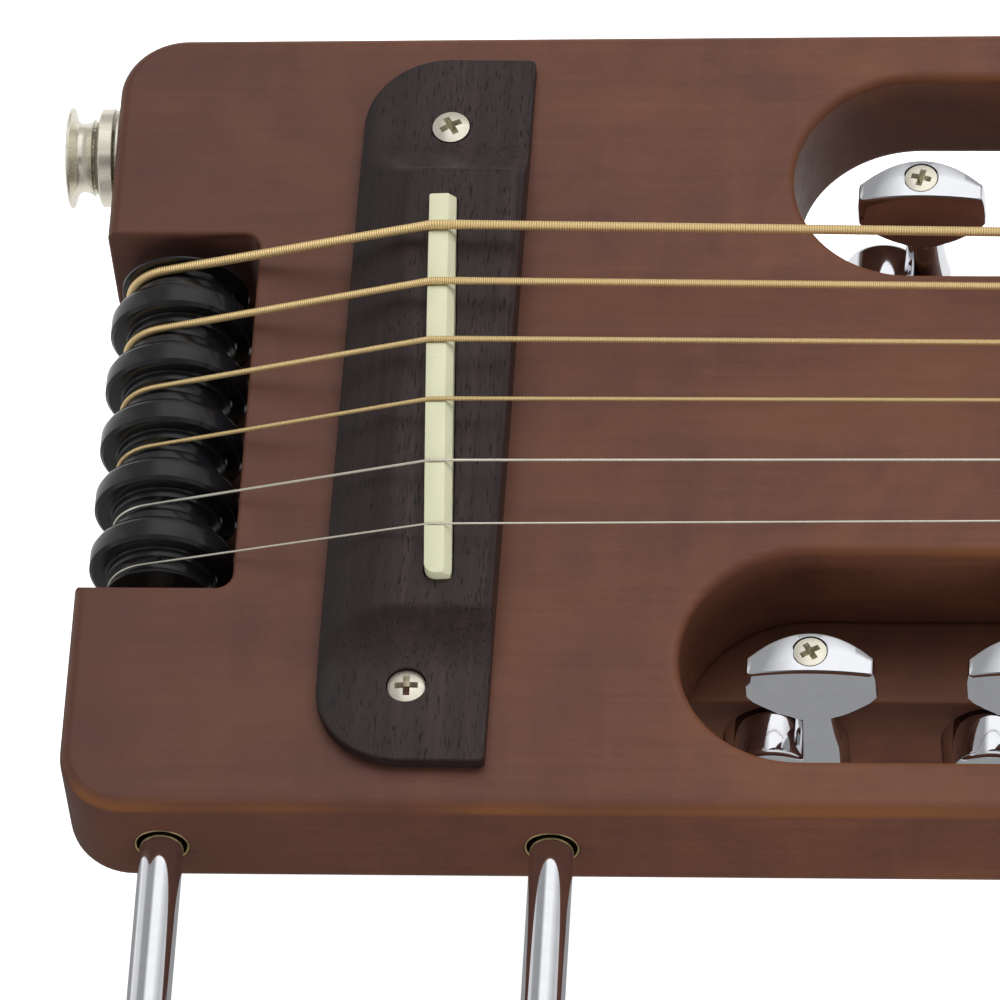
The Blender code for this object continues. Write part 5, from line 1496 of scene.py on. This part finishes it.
# Grey levels from the front horizon over the zenith (0.5) to the back horizon, with the camera's dark gap
STUDIO_ARCH = ((0.0, 0.55), (0.17, 0.55), (0.205, 0.05), (0.32, 0.05), (0.345, 0.80), (0.50, 0.84),
               (0.53, 1.15), (0.74, 1.15), (0.82, 0.45), (1.0, 0.35))
# Levels from the tail side (0) to the neck side (1), and where the soft box stands between them
STUDIO_SIDES = ((0.0, 0.85), (0.07, 0.82), (0.115, 0.72), (0.15, 0.38), (0.27, 0.36), (0.72, 0.45),
                (0.85, 0.55), (1.0, 0.85))
STUDIO_MIDDLE = ((0.0, 0.0), (0.33, 0.0), (0.43, 1.0), (0.66, 1.0), (0.80, 0.35), (0.87, 0.0))


def make_lamp(name, spot, size, power):
    """A soft lamp that lights without being mirrored; the reflections are the world's."""
    lamp = bpy.data.lights.new(name, "AREA")
    lamp.shape = "RECTANGLE"
    lamp.size, lamp.size_y = size
    lamp.energy = power
    made = bpy.data.objects.new(name, lamp)
    made.location = spot
    made.rotation_euler = (Vector((-0.2, 0, 0)) - Vector(spot)).to_track_quat("-Z", "Y").to_euler()
    made.visible_glossy = False
    bpy.context.scene.collection.objects.link(made)


def make_world():
    """White to the camera, an even grey for light, and a studio with a soft box for reflections."""
    world = bpy.data.worlds.new("studio")
    bpy.context.scene.world = world
    world.use_nodes = True
    nodes = Nodes(world.node_tree)
    direction = nodes.node("ShaderNodeTexCoord").outputs["Generated"]
    across, back, up = (nodes.part(direction, axis) for axis in "XYZ")
    climb = nodes.maths("DIVIDE", nodes.maths("ARCTAN2", up, nodes.maths("MULTIPLY", back, -1.0)), pi)
    along = nodes.maths("MULTIPLY_ADD", across, 0.5, 0.5)
    sides = nodes.ramp(along, STUDIO_SIDES)
    studio = nodes.mix(nodes.ramp(along, STUDIO_MIDDLE), sides, nodes.ramp(climb, STUDIO_ARCH))
    rays = nodes.node("ShaderNodeLightPath").outputs
    lit = nodes.mix(rays["Is Diffuse Ray"], studio, AMBIENT)
    seen = nodes.mix(rays["Is Camera Ray"], lit, 1.0)
    nodes.put(seen, nodes.tree.nodes["Background"].inputs["Color"])


def make_floor():
    """A pale floor under the keel: white to the camera, painted grey shade in reflections, and it keeps the
    shadow.
    """
    made = raw("floor", box((-4, 4), (-4, 4), (-0.01, -0.0004)))
    floor = bpy.data.materials.new("floor_white")
    floor.use_nodes = True
    nodes = Nodes(floor.node_tree)
    shader = nodes.tree.nodes["Principled BSDF"]
    for name, value in (("Base Color", opaque(0.85)), ("Roughness", 0.9), ("Specular IOR Level", 0.1)):
        nodes.put(value, shader.inputs[name])
    rays = nodes.node("ShaderNodeLightPath").outputs
    strength = nodes.maths("MULTIPLY", rays["Is Camera Ray"], 0.85)
    lift = nodes.node("ShaderNodeEmission", {"Strength": strength}).outputs["Emission"]
    both = nodes.node("ShaderNodeAddShader", {0: shader.outputs["BSDF"], 1: lift}).outputs["Shader"]
    # Painted shade: to reflected rays the floor glows grey in place of the guitar's shadow on it, lighter
    # towards the bass side.
    across = nodes.part(nodes.node("ShaderNodeTexCoord").outputs["Object"], "Y")
    low, high = FLOOR_GRADE
    graded = nodes.maths("DIVIDE", nodes.maths("SUBTRACT", across, low), high - low)
    mirrored = nodes.node("ShaderNodeEmission", {"Color": nodes.ramp(graded, FLOOR_SHADE_IN_REFLECTIONS)})
    inputs = {0: rays["Is Glossy Ray"], 1: both, 2: mirrored.outputs["Emission"]}
    either = nodes.node("ShaderNodeMixShader", inputs).outputs["Shader"]
    nodes.put(either, nodes.tree.nodes["Material Output"].inputs["Surface"])
    made.data.materials.append(floor)


def make_camera():
    """The photograph's view: a long lens over the treble side, tilted 34.5 degrees from the face."""
    ahead = Vector((-0.0877, 0.5642, -0.8210)).normalized()
    above = Vector((-0.0045, 0.8239, 0.5667))
    across = ahead.cross(above).normalized()
    above = across.cross(ahead)
    distance = 1.3954
    looks_at = Vector((0.05879 + TAIL, -0.01549, FACE))
    data = bpy.data.cameras.new("camera")
    data.sensor_width = 36
    data.lens = 360
    data.clip_start = 0.05
    data.clip_end = 60
    camera = bpy.data.objects.new("camera", data)
    matrix = Matrix((across, above, -ahead)).transposed().to_4x4()
    matrix.translation = looks_at - ahead * distance
    camera.matrix_world = matrix
    bpy.context.scene.collection.objects.link(camera)
    bpy.context.scene.camera = camera


make_camera()
make_world()
make_floor()
make_lamp("key", KEY_PLACE, KEY_SIZE, KEY_POWER)
make_lamp("fill", FILL_PLACE, FILL_SIZE, FILL_POWER)
bpy.context.scene.view_settings.view_transform = "Standard"

make_body()
make_rollers()
make_bridge()
make_saddle()
for place_of_tuner in tuner_places():
    make_tuner(*place_of_tuner)
make_strings()
make_fretboard()
make_nut()
make_anchor()
make_lap_rest()
make_jack()
make_strap_button()
dress("pickup_strip", "copper_foil")
dress("pickup_lead", "lead_jacket")
dress("truss_rod", "nickel_steel")
